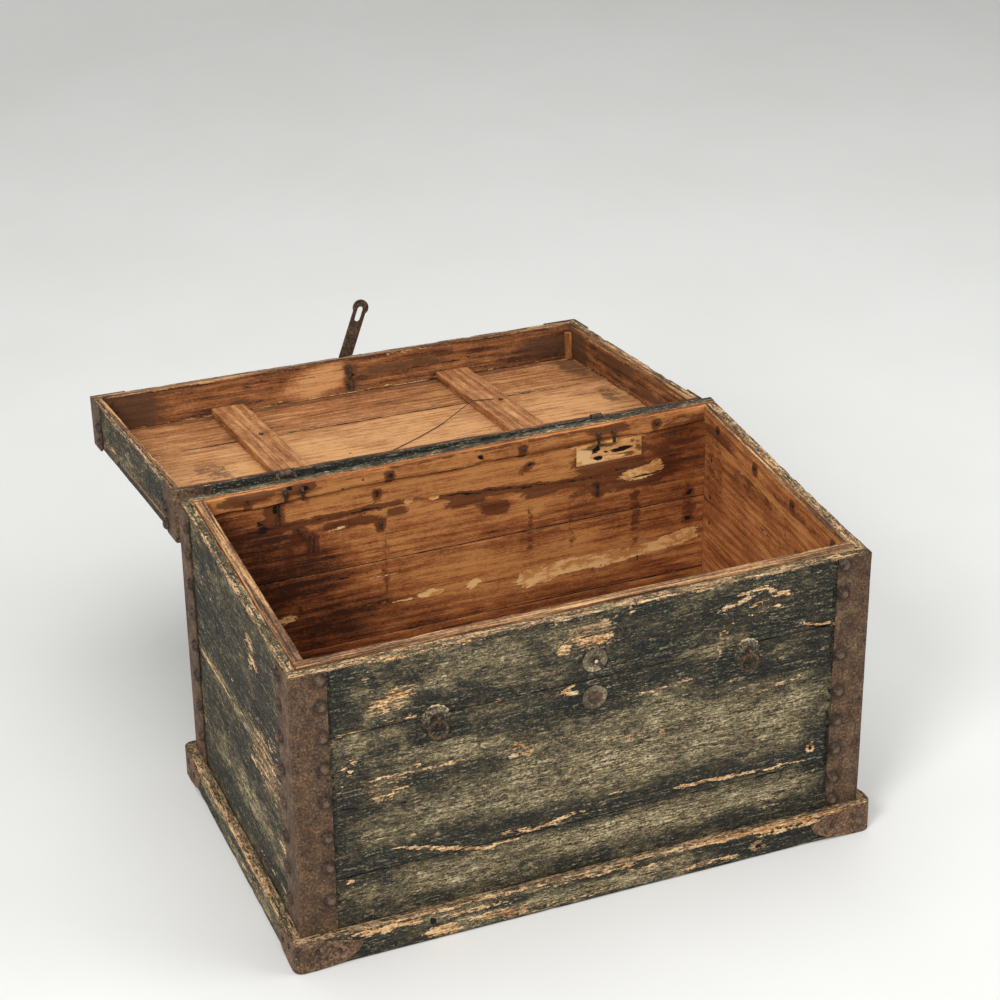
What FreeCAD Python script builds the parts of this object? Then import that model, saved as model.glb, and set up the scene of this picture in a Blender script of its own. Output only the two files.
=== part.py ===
"""An iron-bound wooden storage chest with a tray lid, built board by board.

Frame: X right, Y to the back, Z up, origin at the centre of the underside.
All lengths are millimetres and all angles degrees. The lid is shown thrown
right back, resting on two studs at the back of the box.
"""

# %% Modules and document
import FreeCAD, Part
import math
import os
import Sketcher
from types import SimpleNamespace
from FreeCAD import Placement, Rotation, Vector

doc = FreeCAD.newDocument("chest")
sheet = doc.addObject("Spreadsheet::Sheet", "sizes")

# %% Driving dimensions
SIZES = (
    # Carcase
    ("carcase_width", 696, "over the wood, left to right"),
    ("carcase_depth", 415, "over the wood, front to back"),
    ("front_rise", 339, "rim above the plinth at the front"),
    ("back_rise", 349, "rim above the plinth at the back"),
    ("board_thickness", 13, "wall boards"),
    ("bottom_thickness", 12, "bottom boards"),
    ("bottom_joint", 24, "bottom boards meet behind the middle"),
    ("plank_gap", 0.5, "open joint between planks"),
    ("front_low_width", 93, "lowest front plank"),
    ("front_mid_width", 187, "middle front plank"),
    ("back_low_width", 140, "lowest back plank"),
    ("back_mid_width", 105, "middle back plank"),
    ("left_low_width", 203, "lower left plank"),
    ("right_low_width", 193, "lower right plank"),
    # Liner strips round the mouth
    ("liner_thick", 13, "front and left liner thickness"),
    ("liner_thin", 5.5, "back and right liner thickness"),
    ("liner_rise", 3, "front and left liner above the rim"),
    ("liner_drop", 1.5, "back and right liner below the rim"),
    ("front_liner_height", 30, ""),
    ("back_liner_height", 23, ""),
    ("left_liner_height", 30, ""),
    ("right_liner_height", 33, ""),
    # Plinth
    ("plinth_height", 40, "foot rail height"),
    ("plinth_thickness", 13, "foot rail thickness"),
    ("plinth_corner_radius", 9, "rounded foot corner"),
    ("base_leg_front", 78, "foot iron leg on the front or back"),
    ("base_leg_side", 66, "foot iron leg on the side"),
    ("base_tip_height", 24, "tip of the foot iron leaf"),
    ("base_shoulder", 22, "straight part of the leaf"),
    # Corner irons and studs
    ("iron_thickness", 2, "all sheet iron"),
    ("corner_leg", 43, "corner iron leg on each face"),
    ("iron_front_drop", 1, "front corner iron below the rim"),
    ("iron_back_drop", 5, "back corner iron below the rim"),
    ("stud_radius", 7.25, "dome head"),
    ("stud_height", 5.2, "dome head"),
    ("stud_bite", 9, "shank inside the wood"),
    ("shank_radius", 1.6, "stud and nail shanks"),
    ("shank_clearance", 0.1, "hole round a shank"),
    ("overrun", 4, "cutters past a face"),
    ("nail_radius", 3.2, "flat nail head"),
    ("nail_head", 1.1, "flat nail head height"),
    # Lid
    ("lid_height", 63, "rim to top"),
    ("rail_thickness", 12, "lid rails"),
    ("lid_board_thickness", 12, "lid top boards"),
    ("lid_joint", 286, "board joint from the hinge side"),
    ("batten_width", 47, ""),
    ("batten_thickness", 12, ""),
    ("left_batten", 167, "centre, left of the middle"),
    ("right_batten", 156, "centre, right of the middle"),
    ("batten_play", 0.5, "batten ends to the rails"),
    ("lid_leg", 48, "lid corner iron leg"),
    ("lid_iron_overhang", 3, "lid corner iron past the lid top"),
    ("lid_iron_round", 12, "rounded corner of that iron"),
    ("lid_stud_pitch", 21.75, "between the studs of a lid iron"),
    ("lid_gap", 0.4, "closed lid above the rim"),
    ("corner_strip", 9, "glue strip inside the lid"),
    ("lid_droop_angle", 8.21, "the thrown-back lid hangs past level"),
    ("hinge_tilt_angle", 0.52, "left hinge higher than the right"),
    # Hinges
    ("hinge_setback", 12.15, "axis behind the back boards"),
    ("hinge_drop", 2.86, "axis below the back rim"),
    ("left_hinge", 212.5, "left of the middle"),
    ("right_hinge", 195, "right of the middle"),
    ("staple_span", 21, "between staple legs"),
    ("staple_wire", 2.2, "staple wire radius"),
    ("staple_dip_angle", 12, "slope of the staple legs"),
    ("staple_tail", 14, "bent-over staple ends inside"),
    ("staple_bend", 3, "bend radius of the staple wire"),
    ("knuckle_clearance", 0.35, "hinge knuckle round its staple"),
    ("knuckle_width", 14, ""),
    ("leaf_width", 33, ""),
    ("leaf_height", 34, "hinge leaf on the lid"),
    ("leaf_start", 7, "leaf above the lid rim"),
    ("leaf_nail_reach", 11, "leaf nails from the leaf's middle"),
    ("neck_width", 12, ""),
    # Ring pulls
    ("left_ring", 184, "left of the middle"),
    ("right_ring", 194, "right of the middle"),
    ("left_ring_drop", 89.5, "eye below the front rim"),
    ("right_ring_drop", 95, "eye below the front rim"),
    ("plate_radius", 17, "rose under the ring"),
    ("plate_thickness", 2, ""),
    ("ring_radius", 10.6, "centre line"),
    ("ring_wire", 1.9, ""),
    ("eye_radius", 4.8, "centre line"),
    ("eye_wire", 1.6, ""),
    ("ring_play", 0.3, "hanging ring to its eye"),
    # Lock place
    ("lock_offset", 5.5, "right of the middle"),
    ("washer_drop", 62, "upper washer below the front rim"),
    ("rosette_drop", 110.5, "lower washer below the front rim"),
    ("washer_radius", 15, ""),
    ("washer_thickness", 1.8, ""),
    ("pin_radius", 2.6, "lock pin"),
    ("pin_proud", 2.4, "lock pin past its washer"),
    ("pin_tail", 13, "folded end of the lock pin"),
    ("tail_width", 5, ""),
    ("tail_thickness", 1.6, ""),
    ("tail_lean_angle", 40, "folded end, to the right of straight down"),
    ("rove_radius", 5.2, "clench plate on the lock pin"),
    ("dome_radius", 8.3, "nail in the lower washer"),
    ("dome_height", 4.6, ""),
    # Hasp
    ("hasp_rise", 12, "pin above the lid rim"),
    ("hasp_length", 92, "pivot to tip"),
    ("hasp_width", 17.5, ""),
    ("hasp_head", 11, "round end radius"),
    ("hasp_thickness", 2.8, ""),
    ("slot_width", 8.2, ""),
    ("slot_length", 21.5, ""),
    ("slot_margin", 9.5, "tip to slot"),
    ("hasp_lean_angle", 22, "rest lean to the right"),
    ("hasp_bar", 1.9, "pivot bar radius"),
    ("hasp_eye_wire", 1.5, ""),
    ("hasp_play", 0.3, "bar inside the eye"),
    ("window_width", 6.4, "opening round the eye"),
    ("window_reach", 6.2, "pivot to the window's end"),
    ("clench_length", 36, "pin end bent over inside"),
    ("clench_width", 6, ""),
    ("clench_thickness", 2.6, ""),
    ("clench_lean_angle", 6, "bent end, past straight up"),
    # Inside of the back wall
    ("patch_length", 89, "let-in patch"),
    ("patch_height", 27, ""),
    ("patch_depth", 4, ""),
    ("patch_inset", 101, "patch to the right end of the wall"),
    ("patch_drop", 29, "patch below the back rim"),
    ("patch_fit", 0.2, "round the patch"),
    ("patch_slot", 27, "slot in the patch"),
    ("patch_slot_height", 7, ""),
    ("patch_slot_inset", 13.5, "slot to the patch's right end"),
    ("clench_radius", 1.3, "bent nail ends"),
    ("clench_bend", 1.55, "bend radius of those ends"),
    # Lid wire
    ("wire_radius", 0.6, ""),
    ("wire_bend", 12, "smallest bend of the lid wire"),
    ("wire_step", 3.7, "wire past the batten before it drops"),
    ("seat_gap", 0.3, "loose metal to wood"),
)

for row, (alias, value, note) in enumerate(SIZES, start=1):
    sheet.set(f"A{row}", alias)
    sheet.set(f"B{row}", str(value))
    sheet.set(f"C{row}", note)
    sheet.setAlias(f"B{row}", alias)
doc.recompute()

s = SimpleNamespace(**{alias: float(sheet.get(alias)) for alias, _, _ in SIZES})

# Shares of the corner iron's height at which its studs sit
STUD_SHARES = {
    "front_left": (0.125, 0.255, 0.373, 0.511, 0.640, 0.757, 0.873, 0.972),
    "front_right": (0.027, 0.119, 0.238, 0.356, 0.475, 0.623, 0.864, 0.972),
    "left_front": (0.090, 0.215, 0.340, 0.470, 0.600, 0.725, 0.850, 0.960),
    "left_back": (0.110, 0.240, 0.365, 0.490, 0.620, 0.740, 0.860, 0.965),
    "right_front": (0.080, 0.205, 0.335, 0.465, 0.590, 0.720, 0.845, 0.960),
    "right_back": (0.100, 0.225, 0.350, 0.485, 0.610, 0.735, 0.855, 0.965),
    "back": (0.095, 0.220, 0.350, 0.480, 0.610, 0.730),
}
# Nail places along each foot iron leg, as shares of its length and height
BASE_NAIL_SHARES = ((0.34, 0.66), (0.68, 0.50))
# A foot iron leaf: points along its leg, each with its share of the height
# below the tip, then of the height above it
LEAF_LOW_SHARES = ((0.72, 0.18), (0.95, 0.62))
LEAF_HIGH_SHARES = ((0.93, 0.25), (0.60, 0.66))
# Liner nails along each strip, as shares of its length
LINER_NAIL_SHARES = (0.08, 0.36, 0.63, 0.91)
# Clenched nails inside the back wall: place along the wall as a share of half
# its width, height as a share of the back rise, tail length as a share of the
# corner iron leg and the tail's lean from straight down
CLENCH_SHARES = (
    (-0.667, 0.926, 0.63, 0),
    (-0.601, 0.817, 0.47, -32),
    (-0.548, 0.775, 0.45, 4),
    (-0.294, 0.779, 0.20, 10),
    (0.533, 0.762, 0.46, 0),
)

# %% Derived places
rim_front = s.plinth_height + s.front_rise
rim_back = s.plinth_height + s.back_rise
half_width = s.carcase_width / 2
half_depth = s.carcase_depth / 2
iron_front = half_depth + s.iron_thickness
iron_side = half_width + s.iron_thickness
stud_line = iron_side - s.corner_leg + s.stud_radius
stud_depth = iron_front - s.corner_leg + s.stud_radius
left_ring_height = rim_front - s.left_ring_drop
right_ring_height = rim_front - s.right_ring_drop
washer_height = rim_front - s.washer_drop
rosette_height = rim_front - s.rosette_drop
patch_left = half_width - s.patch_inset - s.patch_length
patch_base = rim_back - s.patch_drop - s.patch_height
rim_slope = math.degrees(math.atan2(rim_back - rim_front, s.carcase_depth))

open_angle = 180 + s.lid_droop_angle + rim_slope
hinge_centre = Vector(0, half_depth + s.hinge_setback, rim_back - s.hinge_drop)
hinge_axis = Rotation(Vector(0, 1, 0), s.hinge_tilt_angle).multVec(Vector(1, 0, 0))
lid_seat = Vector(0, half_depth, rim_back + s.lid_gap)
lid_closed = Placement(lid_seat, Rotation(Vector(1, 0, 0), rim_slope))
lid_swing = Placement(Vector(), Rotation(hinge_axis, -open_angle), hinge_centre)
LID = lid_swing.multiply(lid_closed)
BOX = Placement()

TO_FRONT = Rotation(Vector(1, 0, 0), 90)
TO_BACK = Rotation(Vector(1, 0, 0), -90)
TO_LEFT = Rotation(Vector(0, 1, 0), -90)
TO_RIGHT = Rotation(Vector(0, 1, 0), 90)

finished = []


# %% Building blocks
def keep(shape_object, label, frame=BOX):
    """Name a finished sub-part and set it in its frame."""
    shape_object.Label = label
    shape_object.Placement = frame.multiply(shape_object.Placement)
    finished.append(shape_object)
    return shape_object


def block(name, lengths, corner):
    """A rectangular block: three expressions and its least corner."""
    solid = doc.addObject("Part::Box", name)
    for side, expression in zip(("Length", "Width", "Height"), lengths):
        solid.setExpression(side, expression)
    solid.Placement = Placement(Vector(*corner), Rotation())
    return solid


def rod(name, radius, length, base, turn=Rotation()):
    """A round rod from its base along its own turned Z."""
    solid = doc.addObject("Part::Cylinder", name)
    solid.setExpression("Radius", radius)
    solid.setExpression("Height", length)
    solid.Placement = Placement(Vector(*base), turn)
    return solid


def cut(name, base, tools):
    """Cut one or more tools out of a solid."""
    result = doc.addObject("Part::Cut", name)
    result.Base = base
    result.Tool = tools[0] if len(tools) == 1 else gather(name + "_tools", tools)
    return result


def gather(name, members):
    """Keep separate solids together as one group."""
    group = doc.addObject("Part::Compound", name)
    group.Links = members
    return group


def join(name, members):
    """Fuse touching shapes into one solid."""
    fused = doc.addObject("Part::MultiFuse", name)
    fused.Shapes = members
    fused.Refine = True
    return fused


def origin_plane(body, role):
    """One of a body's own origin planes."""
    return next(f for f in body.Origin.OriginFeatures if f.Role == role)


def value_of(expression):
    """The present value of an expression on the sheet."""
    return float(sheet.evalExpression(expression))


def sketch_outline(body, name, role, outline):
    """A closed outline of straight lines, every corner tied to the sheet."""
    sketch = body.newObject("Sketcher::SketchObject", name)
    sketch.AttachmentSupport = [(origin_plane(body, role), "")]
    sketch.MapMode = "FlatFace"
    corners = [Vector(value_of(x), value_of(y), 0) for x, y in outline]
    count = len(corners)
    for index, corner in enumerate(corners):
        sketch.addGeometry(Part.LineSegment(corner, corners[(index + 1) % count]), False)
    for index in range(count):
        sketch.addConstraint(Sketcher.Constraint("Coincident", index, 2, (index + 1) % count, 1))
    for index, (corner, texts) in enumerate(zip(corners, outline)):
        for kind, place, text, axis in zip(("DistanceX", "DistanceY"), corner, texts, (-2, -1)):
            if place == 0:
                sketch.addConstraint(Sketcher.Constraint("PointOnObject", index, 1, axis))
                continue
            number = sketch.addConstraint(Sketcher.Constraint(kind, -1, 1, index, 1, place))
            sketch.setExpression(f"Constraints[{number}]", text)
    return sketch


def plate(name, role, outline, thickness):
    """A flat piece: an outline on an origin plane, padded to a thickness."""
    body = doc.addObject("PartDesign::Body", name)
    sketch = sketch_outline(body, name + "_outline", role, outline)
    pad = body.newObject("PartDesign::Pad", name + "_pad")
    pad.Profile = sketch
    pad.setExpression("Length", thickness)
    body.Tip = pad
    doc.recompute()
    return body


def round_corners(body, places, radius):
    """Round the edges whose middle lies over one of the given X, Y, Z places."""
    feature = body.Tip
    names = []
    for number, edge in enumerate(feature.Shape.Edges, start=1):
        middle = edge.CenterOfMass
        for place in places:
            near = [abs(a - b) < s.seat_gap for a, b in zip(middle, place) if b is not None]
            if all(near):
                names.append(f"Edge{number}")
    fillet = body.newObject("PartDesign::Fillet", body.Name + "_round")
    fillet.Base = (feature, names)
    fillet.setExpression("Radius", radius)
    body.Tip = fillet
    doc.recompute()
    return body


def group_of(label, shapes, frame=BOX):
    """A group of like fasteners, each a solid of its own."""
    group = doc.addObject("Part::Feature", label)
    group.Shape = Part.makeCompound(shapes)
    return keep(group, label, frame)


def dome(radius, height):
    """A domed head standing on the XY plane."""
    ball = (radius ** 2 + height ** 2) / (2 * height)
    lean = math.degrees(math.asin(1 - height / ball))
    return Part.makeSphere(ball, Vector(0, 0, height - ball), Vector(0, 0, 1), lean, 90)


def stud(height=None):
    """A domed stud, its head on the XY plane and its shank below."""
    head = dome(s.stud_radius, height or s.stud_height)
    length = s.iron_thickness + s.stud_bite
    shank = Part.makeCylinder(s.shank_radius, length, Vector(0, 0, -length))
    return head.fuse(shank).removeSplitter()


def flat_nail(length):
    """A flat-headed nail, its head on the XY plane and its shank below."""
    head = Part.makeCylinder(s.nail_radius, s.nail_head)
    shank = Part.makeCylinder(s.shank_radius, length, Vector(0, 0, -length))
    return head.fuse(shank).removeSplitter()


def bent_wire(points, radius, bend):
    """A round wire along straight runs with arcs of one bend radius between them."""
    edges = []
    start = points[0]
    for before, corner, after in zip(points, points[1:], points[2:]):
        back_way = (before - corner).normalize()
        on_way = (after - corner).normalize()
        half = back_way.getAngle(on_way) / 2
        first = corner + back_way * (bend / math.tan(half))
        last = corner + on_way * (bend / math.tan(half))
        inward = (back_way + on_way).normalize()
        middle = corner + inward * (bend / math.sin(half) - bend)
        edges.append(Part.makeLine(start, first))
        edges.append(Part.Arc(first, middle, last).toShape())
        start = last
    edges.append(Part.makeLine(start, points[-1]))
    section = Part.Wire([Part.makeCircle(radius, points[0], points[1] - points[0])])
    return Part.Wire(edges).makePipeShell([section], True, False)


def placed(shape, place, turn=Rotation()):
    """A copy of a shape moved to a place."""
    copy = shape.copy()
    copy.Placement = Placement(Vector(*place), turn)
    return copy


def holes(name, places, depth):
    """Shank holes: each place is a point on the outer face and a turn outward."""
    drills = []
    for number, (place, turn) in enumerate(places):
        start = Vector(*place) - turn.multVec(Vector(0, 0, value_of(depth)))
        radius = "sizes.shank_radius + sizes.shank_clearance"
        drills.append(rod(f"{name}_{number}", radius, f"{depth} + sizes.overrun", start, turn))
    return gather(name, drills)


# %% Stud and nail places
def stud_places():
    """Every stud of the box, by face: point on the iron and turn outward."""
    faces = {"front": [], "back": [], "left": [], "right": []}

    def height(share):
        return s.plinth_height + share * s.front_rise

    for side, x in (("left", -stud_line), ("right", stud_line)):
        faces["front"] += [((x, -iron_front, height(h)), TO_FRONT) for h in STUD_SHARES["front_" + side]]
        faces["back"] += [((x, iron_front, height(h)), TO_BACK) for h in STUD_SHARES["back"]]
    for side, x, turn in (("left", -iron_side, TO_LEFT), ("right", iron_side, TO_RIGHT)):
        for end, y in (("front", -stud_depth), ("back", stud_depth)):
            faces[side] += [((x, y, height(h)), turn) for h in STUD_SHARES[side + "_" + end]]
    return faces


def lid_stud_places():
    """Lid studs in the closed lid's own frame: two on each corner iron."""
    low = s.lid_height - s.stud_radius - s.iron_thickness
    mid = low - s.lid_stud_pitch
    inset = s.lid_leg - s.stud_radius
    hinge_face = s.iron_thickness
    front_face = -s.carcase_depth - s.iron_thickness
    places = []
    for x in (-1, 1):
        side = Vector(x * iron_side, 0, 0)
        turn = TO_LEFT if x < 0 else TO_RIGHT
        for z in (low, mid):
            places.append(((x * stud_line, hinge_face, z), TO_BACK))
            places.append(((x * stud_line, front_face, z), TO_FRONT))
            places.append(((side.x, hinge_face - inset, z), turn))
            places.append(((side.x, front_face + inset, z), turn))
    return places


box_studs = stud_places()
lid_studs = lid_stud_places()


def stop_places():
    """Box studs that the open lid's hinge-side studs come to rest against."""
    ball = (s.stud_radius ** 2 + s.stud_height ** 2) / (2 * s.stud_height)
    low = s.lid_height - s.stud_radius - s.iron_thickness
    stops = []
    for x in (-stud_line, stud_line):
        centre = LID.multVec(Vector(x, s.iron_thickness + s.stud_height - ball, low))
        height = centre.y - ball - s.seat_gap - iron_front
        stops.append(((centre.x, iron_front, centre.z), height))
    return stops


stops = stop_places()
box_studs["back"] += [(place, TO_BACK) for place, _ in stops]

stud_holes = {
    face: holes(f"stud_holes_{face}", places, "sizes.iron_thickness + sizes.stud_bite + sizes.seat_gap")
    for face, places in box_studs.items()
}


def base_nail_places():
    """Nails of the foot irons, on the iron's outer face."""
    places = {"front": [], "back": [], "left": [], "right": []}
    x_face = half_width + s.plinth_thickness + s.iron_thickness
    y_face = half_depth + s.plinth_thickness + s.iron_thickness
    for along, up in BASE_NAIL_SHARES:
        z = s.plinth_height * up
        for x in (-1, 1):
            x_place = x * (x_face - along * s.base_leg_front)
            places["front"].append(((x_place, -y_face, z), TO_FRONT))
            places["back"].append(((x_place, y_face, z), TO_BACK))
        for y in (-1, 1):
            y_place = y * (y_face - along * s.base_leg_side)
            places["left"].append(((-x_face, y_place, z), TO_LEFT))
            places["right"].append(((x_face, y_place, z), TO_RIGHT))
    return places


base_nails = base_nail_places()
base_holes = {
    face: holes(f"base_holes_{face}", places, "sizes.iron_thickness + sizes.stud_bite + sizes.seat_gap")
    for face, places in base_nails.items()
}


# %% Bottom and wall boards
def bottom_boards():
    """Two boards that carry the walls."""
    front_width = "sizes.carcase_depth/2 + sizes.bottom_joint - sizes.plank_gap"
    lengths = ("sizes.carcase_width", front_width, "sizes.bottom_thickness")
    front = block("bottom_board_front_block", lengths, (-half_width, -half_depth, 0))
    lengths = ("sizes.carcase_width", "sizes.carcase_depth/2 - sizes.bottom_joint", "sizes.bottom_thickness")
    back = block("bottom_board_back_block", lengths, (-half_width, s.bottom_joint, 0))
    keep(front, "bottom_board_front")
    keep(back, "bottom_board_back")


def lock_holes():
    """Holes through the front boards for ring eyes, lock pin and dome nail."""
    depth = "sizes.board_thickness + 2*sizes.overrun"
    y = -half_depth - s.overrun
    into = TO_BACK
    fit = "sizes.shank_clearance"
    return [
        rod("left_eye_hole", f"sizes.eye_wire + {fit}", depth, (-s.left_ring, y, left_ring_height), into),
        rod("right_eye_hole", f"sizes.eye_wire + {fit}", depth, (s.right_ring, y, right_ring_height), into),
        rod("lock_pin_hole", f"sizes.pin_radius + {fit}", depth, (s.lock_offset, y, washer_height), into),
        rod("dome_nail_hole", f"sizes.shank_radius + {fit}", depth, (s.lock_offset, y, rosette_height), into),
    ]


def stacked(rows, top):
    """Plank edges from the bottom boards up, as (name, bottom, height text)."""
    planks = []
    level = "sizes.bottom_thickness"
    for name, width in rows:
        planks.append((name, value_of(level), f"{width} - sizes.plank_gap"))
        level = f"{level} + {width}"
    name = top[0]
    planks.append((name, value_of(level), f"{top[1]} - ({level})"))
    return planks


def front_wall():
    """Three planks across the whole front."""
    rows = (("front_plank_low", "sizes.front_low_width"), ("front_plank_mid", "sizes.front_mid_width"))
    top = ("front_plank_top", "sizes.plinth_height + sizes.front_rise")
    drills = [stud_holes["front"], liner_holes["front"]] + lock_holes()
    for name, z, height in stacked(rows, top):
        lengths = ("sizes.carcase_width", "sizes.board_thickness", height)
        plank = block(name + "_block", lengths, (-half_width, -half_depth, z))
        side = [stud_holes["left"], stud_holes["right"]]
        keep(cut(name + "_drilled", plank, drills + side), name)


def back_wall():
    """Three planks across the whole back, let in for the patch."""
    rows = (("back_plank_low", "sizes.back_low_width"), ("back_plank_mid", "sizes.back_mid_width"))
    top = ("back_plank_top", "sizes.plinth_height + sizes.back_rise")
    drills = [stud_holes["back"], stud_holes["left"], stud_holes["right"], liner_holes["back"]]
    drills += clench_holes() + staple_holes("back_wall") + [patch_recess()]
    for name, z, height in stacked(rows, top):
        lengths = ("sizes.carcase_width", "sizes.board_thickness", height)
        corner = (-half_width, half_depth - s.board_thickness, z)
        plank = block(name + "_block", lengths, corner)
        keep(cut(name + "_drilled", plank, drills), name)


def side_wall(side, low_width):
    """Two planks between front and back, the upper one following the sloping rim."""
    reach = "(sizes.carcase_depth/2 - sizes.board_thickness)"
    slope = "(sizes.back_rise - sizes.front_rise) / sizes.carcase_depth"
    middle = "(sizes.plinth_height + (sizes.front_rise + sizes.back_rise)/2)"
    low_top = f"(sizes.bottom_thickness + {low_width})"
    lower = (
        (f"-{reach}", "sizes.bottom_thickness"),
        (reach, "sizes.bottom_thickness"),
        (reach, f"{low_top} - sizes.plank_gap"),
        (f"-{reach}", f"{low_top} - sizes.plank_gap"),
    )
    upper = (
        (f"-{reach}", low_top),
        (reach, low_top),
        (reach, f"{middle} + {reach}*{slope}"),
        (f"-{reach}", f"{middle} - {reach}*{slope}"),
    )
    x = -half_width if side == "left" else half_width - s.board_thickness
    drills = [stud_holes[side], liner_holes[side]]
    for name, outline in ((f"{side}_plank_low", lower), (f"{side}_plank_top", upper)):
        plank = plate(name + "_body", "YZ_Plane", outline, "sizes.board_thickness")
        plank.Placement = Placement(Vector(x, 0, 0), Rotation())
        keep(cut(name + "_drilled", plank, drills), name)


# %% Liner strips
def liner_nail_places():
    """Nails from the inside through each liner strip into its wall."""
    thick = s.board_thickness + s.liner_thick
    thin = s.board_thickness + s.liner_thin
    reach = half_depth - s.board_thickness
    places = {"front": [], "back": [], "left": [], "right": []}
    for share in LINER_NAIL_SHARES:
        x = (2 * share - 1) * (half_width - thick)
        y = (2 * share - 1) * (reach - s.liner_thick)
        rise = (y + half_depth) / s.carcase_depth * (rim_back - rim_front)
        front_z = rim_front + s.liner_rise - s.front_liner_height / 2
        back_z = rim_back - s.liner_drop - s.back_liner_height / 2
        left_z = rim_front + rise + s.liner_rise - s.left_liner_height / 2
        right_z = rim_front + rise - s.liner_drop - s.right_liner_height / 2
        places["front"].append(((x, -half_depth + thick, front_z), TO_BACK))
        places["back"].append(((x, half_depth - thin, back_z), TO_FRONT))
        places["left"].append(((-half_width + thick, y, left_z), TO_RIGHT))
        places["right"].append(((half_width - thin, y, right_z), TO_LEFT))
    return places


liner_nails = liner_nail_places()
LINER_BITE = {
    "front": "sizes.liner_thick",
    "back": "sizes.liner_thin",
    "left": "sizes.liner_thick",
    "right": "sizes.liner_thin",
}
liner_holes = {
    face: holes(f"liner_holes_{face}", places, f"{LINER_BITE[face]} + sizes.stud_bite + sizes.seat_gap")
    for face, places in liner_nails.items()
}


def cross_liner(name, face, thickness, height, y, z, extra):
    """A liner strip along the front or back, between the side walls."""
    lengths = ("sizes.carcase_width - 2*sizes.board_thickness", thickness, height)
    strip = block(name + "_block", lengths, (-half_width + s.board_thickness, y, z))
    keep(cut(name + "_drilled", strip, [liner_holes[face]] + extra), name)


def side_liner(name, face, thickness, height, offset, x):
    """A liner strip along one side, its top following the sloping rim."""
    front = "(-sizes.carcase_depth/2 + sizes.board_thickness + sizes.liner_thick)"
    back = "(sizes.carcase_depth/2 - sizes.board_thickness - sizes.liner_thin)"
    slope = "(sizes.back_rise - sizes.front_rise) / sizes.carcase_depth"
    middle = f"(sizes.plinth_height + (sizes.front_rise + sizes.back_rise)/2 + {offset})"
    outline = (
        (front, f"{middle} + {front}*{slope} - {height}"),
        (back, f"{middle} + {back}*{slope} - {height}"),
        (back, f"{middle} + {back}*{slope}"),
        (front, f"{middle} + {front}*{slope}"),
    )
    strip = plate(name + "_body", "YZ_Plane", outline, thickness)
    strip.Placement = Placement(Vector(x, 0, 0), Rotation())
    keep(cut(name + "_drilled", strip, [liner_holes[face]]), name)


def liners():
    """The four strips inside the mouth."""
    y_front = -half_depth + s.board_thickness
    z_front = rim_front + s.liner_rise - s.front_liner_height
    cross_liner("liner_front", "front", "sizes.liner_thick", "sizes.front_liner_height", y_front, z_front, [])
    y_back = half_depth - s.board_thickness - s.liner_thin
    z_back = rim_back - s.liner_drop - s.back_liner_height
    staples = staple_holes("liner")
    cross_liner("liner_back", "back", "sizes.liner_thin", "sizes.back_liner_height", y_back, z_back, staples)
    x_left = -half_width + s.board_thickness
    x_right = half_width - s.board_thickness - s.liner_thin
    height = "sizes.left_liner_height"
    side_liner("liner_left", "left", "sizes.liner_thick", height, "sizes.liner_rise", x_left)
    height = "sizes.right_liner_height"
    side_liner("liner_right", "right", "sizes.liner_thin", height, "-sizes.liner_drop", x_right)


# %% Plinth and its irons
def plinth():
    """Four foot rails round the box, the front and back ones over the sides."""
    long = "sizes.carcase_width + 2*sizes.plinth_thickness"
    x = half_width + s.plinth_thickness
    y = half_depth + s.plinth_thickness
    for name, y_low in (("front", -y), ("back", half_depth)):
        outline = (
            (f"-({long})/2", "0"),
            (f"({long})/2", "0"),
            (f"({long})/2", "sizes.plinth_thickness"),
            (f"-({long})/2", "sizes.plinth_thickness"),
        )
        rail = plate(f"plinth_{name}_body", "XY_Plane", outline, "sizes.plinth_height")
        outer = 0 if name == "front" else s.plinth_thickness
        round_corners(rail, [(-x, outer, None), (x, outer, None)], "sizes.plinth_corner_radius")
        rail.Placement = Placement(Vector(0, y_low, 0), Rotation())
        keep(cut(f"plinth_{name}_drilled", rail, [base_holes[name]]), f"plinth_{name}")
    lengths = ("sizes.plinth_thickness", "sizes.carcase_depth", "sizes.plinth_height")
    for name, x_low in (("left", -x), ("right", half_width)):
        rail = block(f"plinth_{name}_block", lengths, (x_low, -half_depth, 0))
        keep(cut(f"plinth_{name}_drilled", rail, [base_holes[name]]), f"plinth_{name}")


def leaf_outline(leg):
    """Half of a foot iron in elevation: full height at the corner, a leaf tip at the end."""
    start = "sizes.plinth_corner_radius + sizes.iron_thickness"
    tip = "sizes.base_tip_height"
    over = f"(sizes.plinth_height - {tip})"
    return (
        (start, "0"),
        ("sizes.base_shoulder", "0"),
        *((f"{along}*{leg}", f"{up}*{tip}") for along, up in LEAF_LOW_SHARES),
        (leg, tip),
        *((f"{along}*{leg}", f"{tip} + {up}*{over}") for along, up in LEAF_HIGH_SHARES),
        ("sizes.base_shoulder", "sizes.plinth_height"),
        (start, "sizes.plinth_height"),
    )


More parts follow.
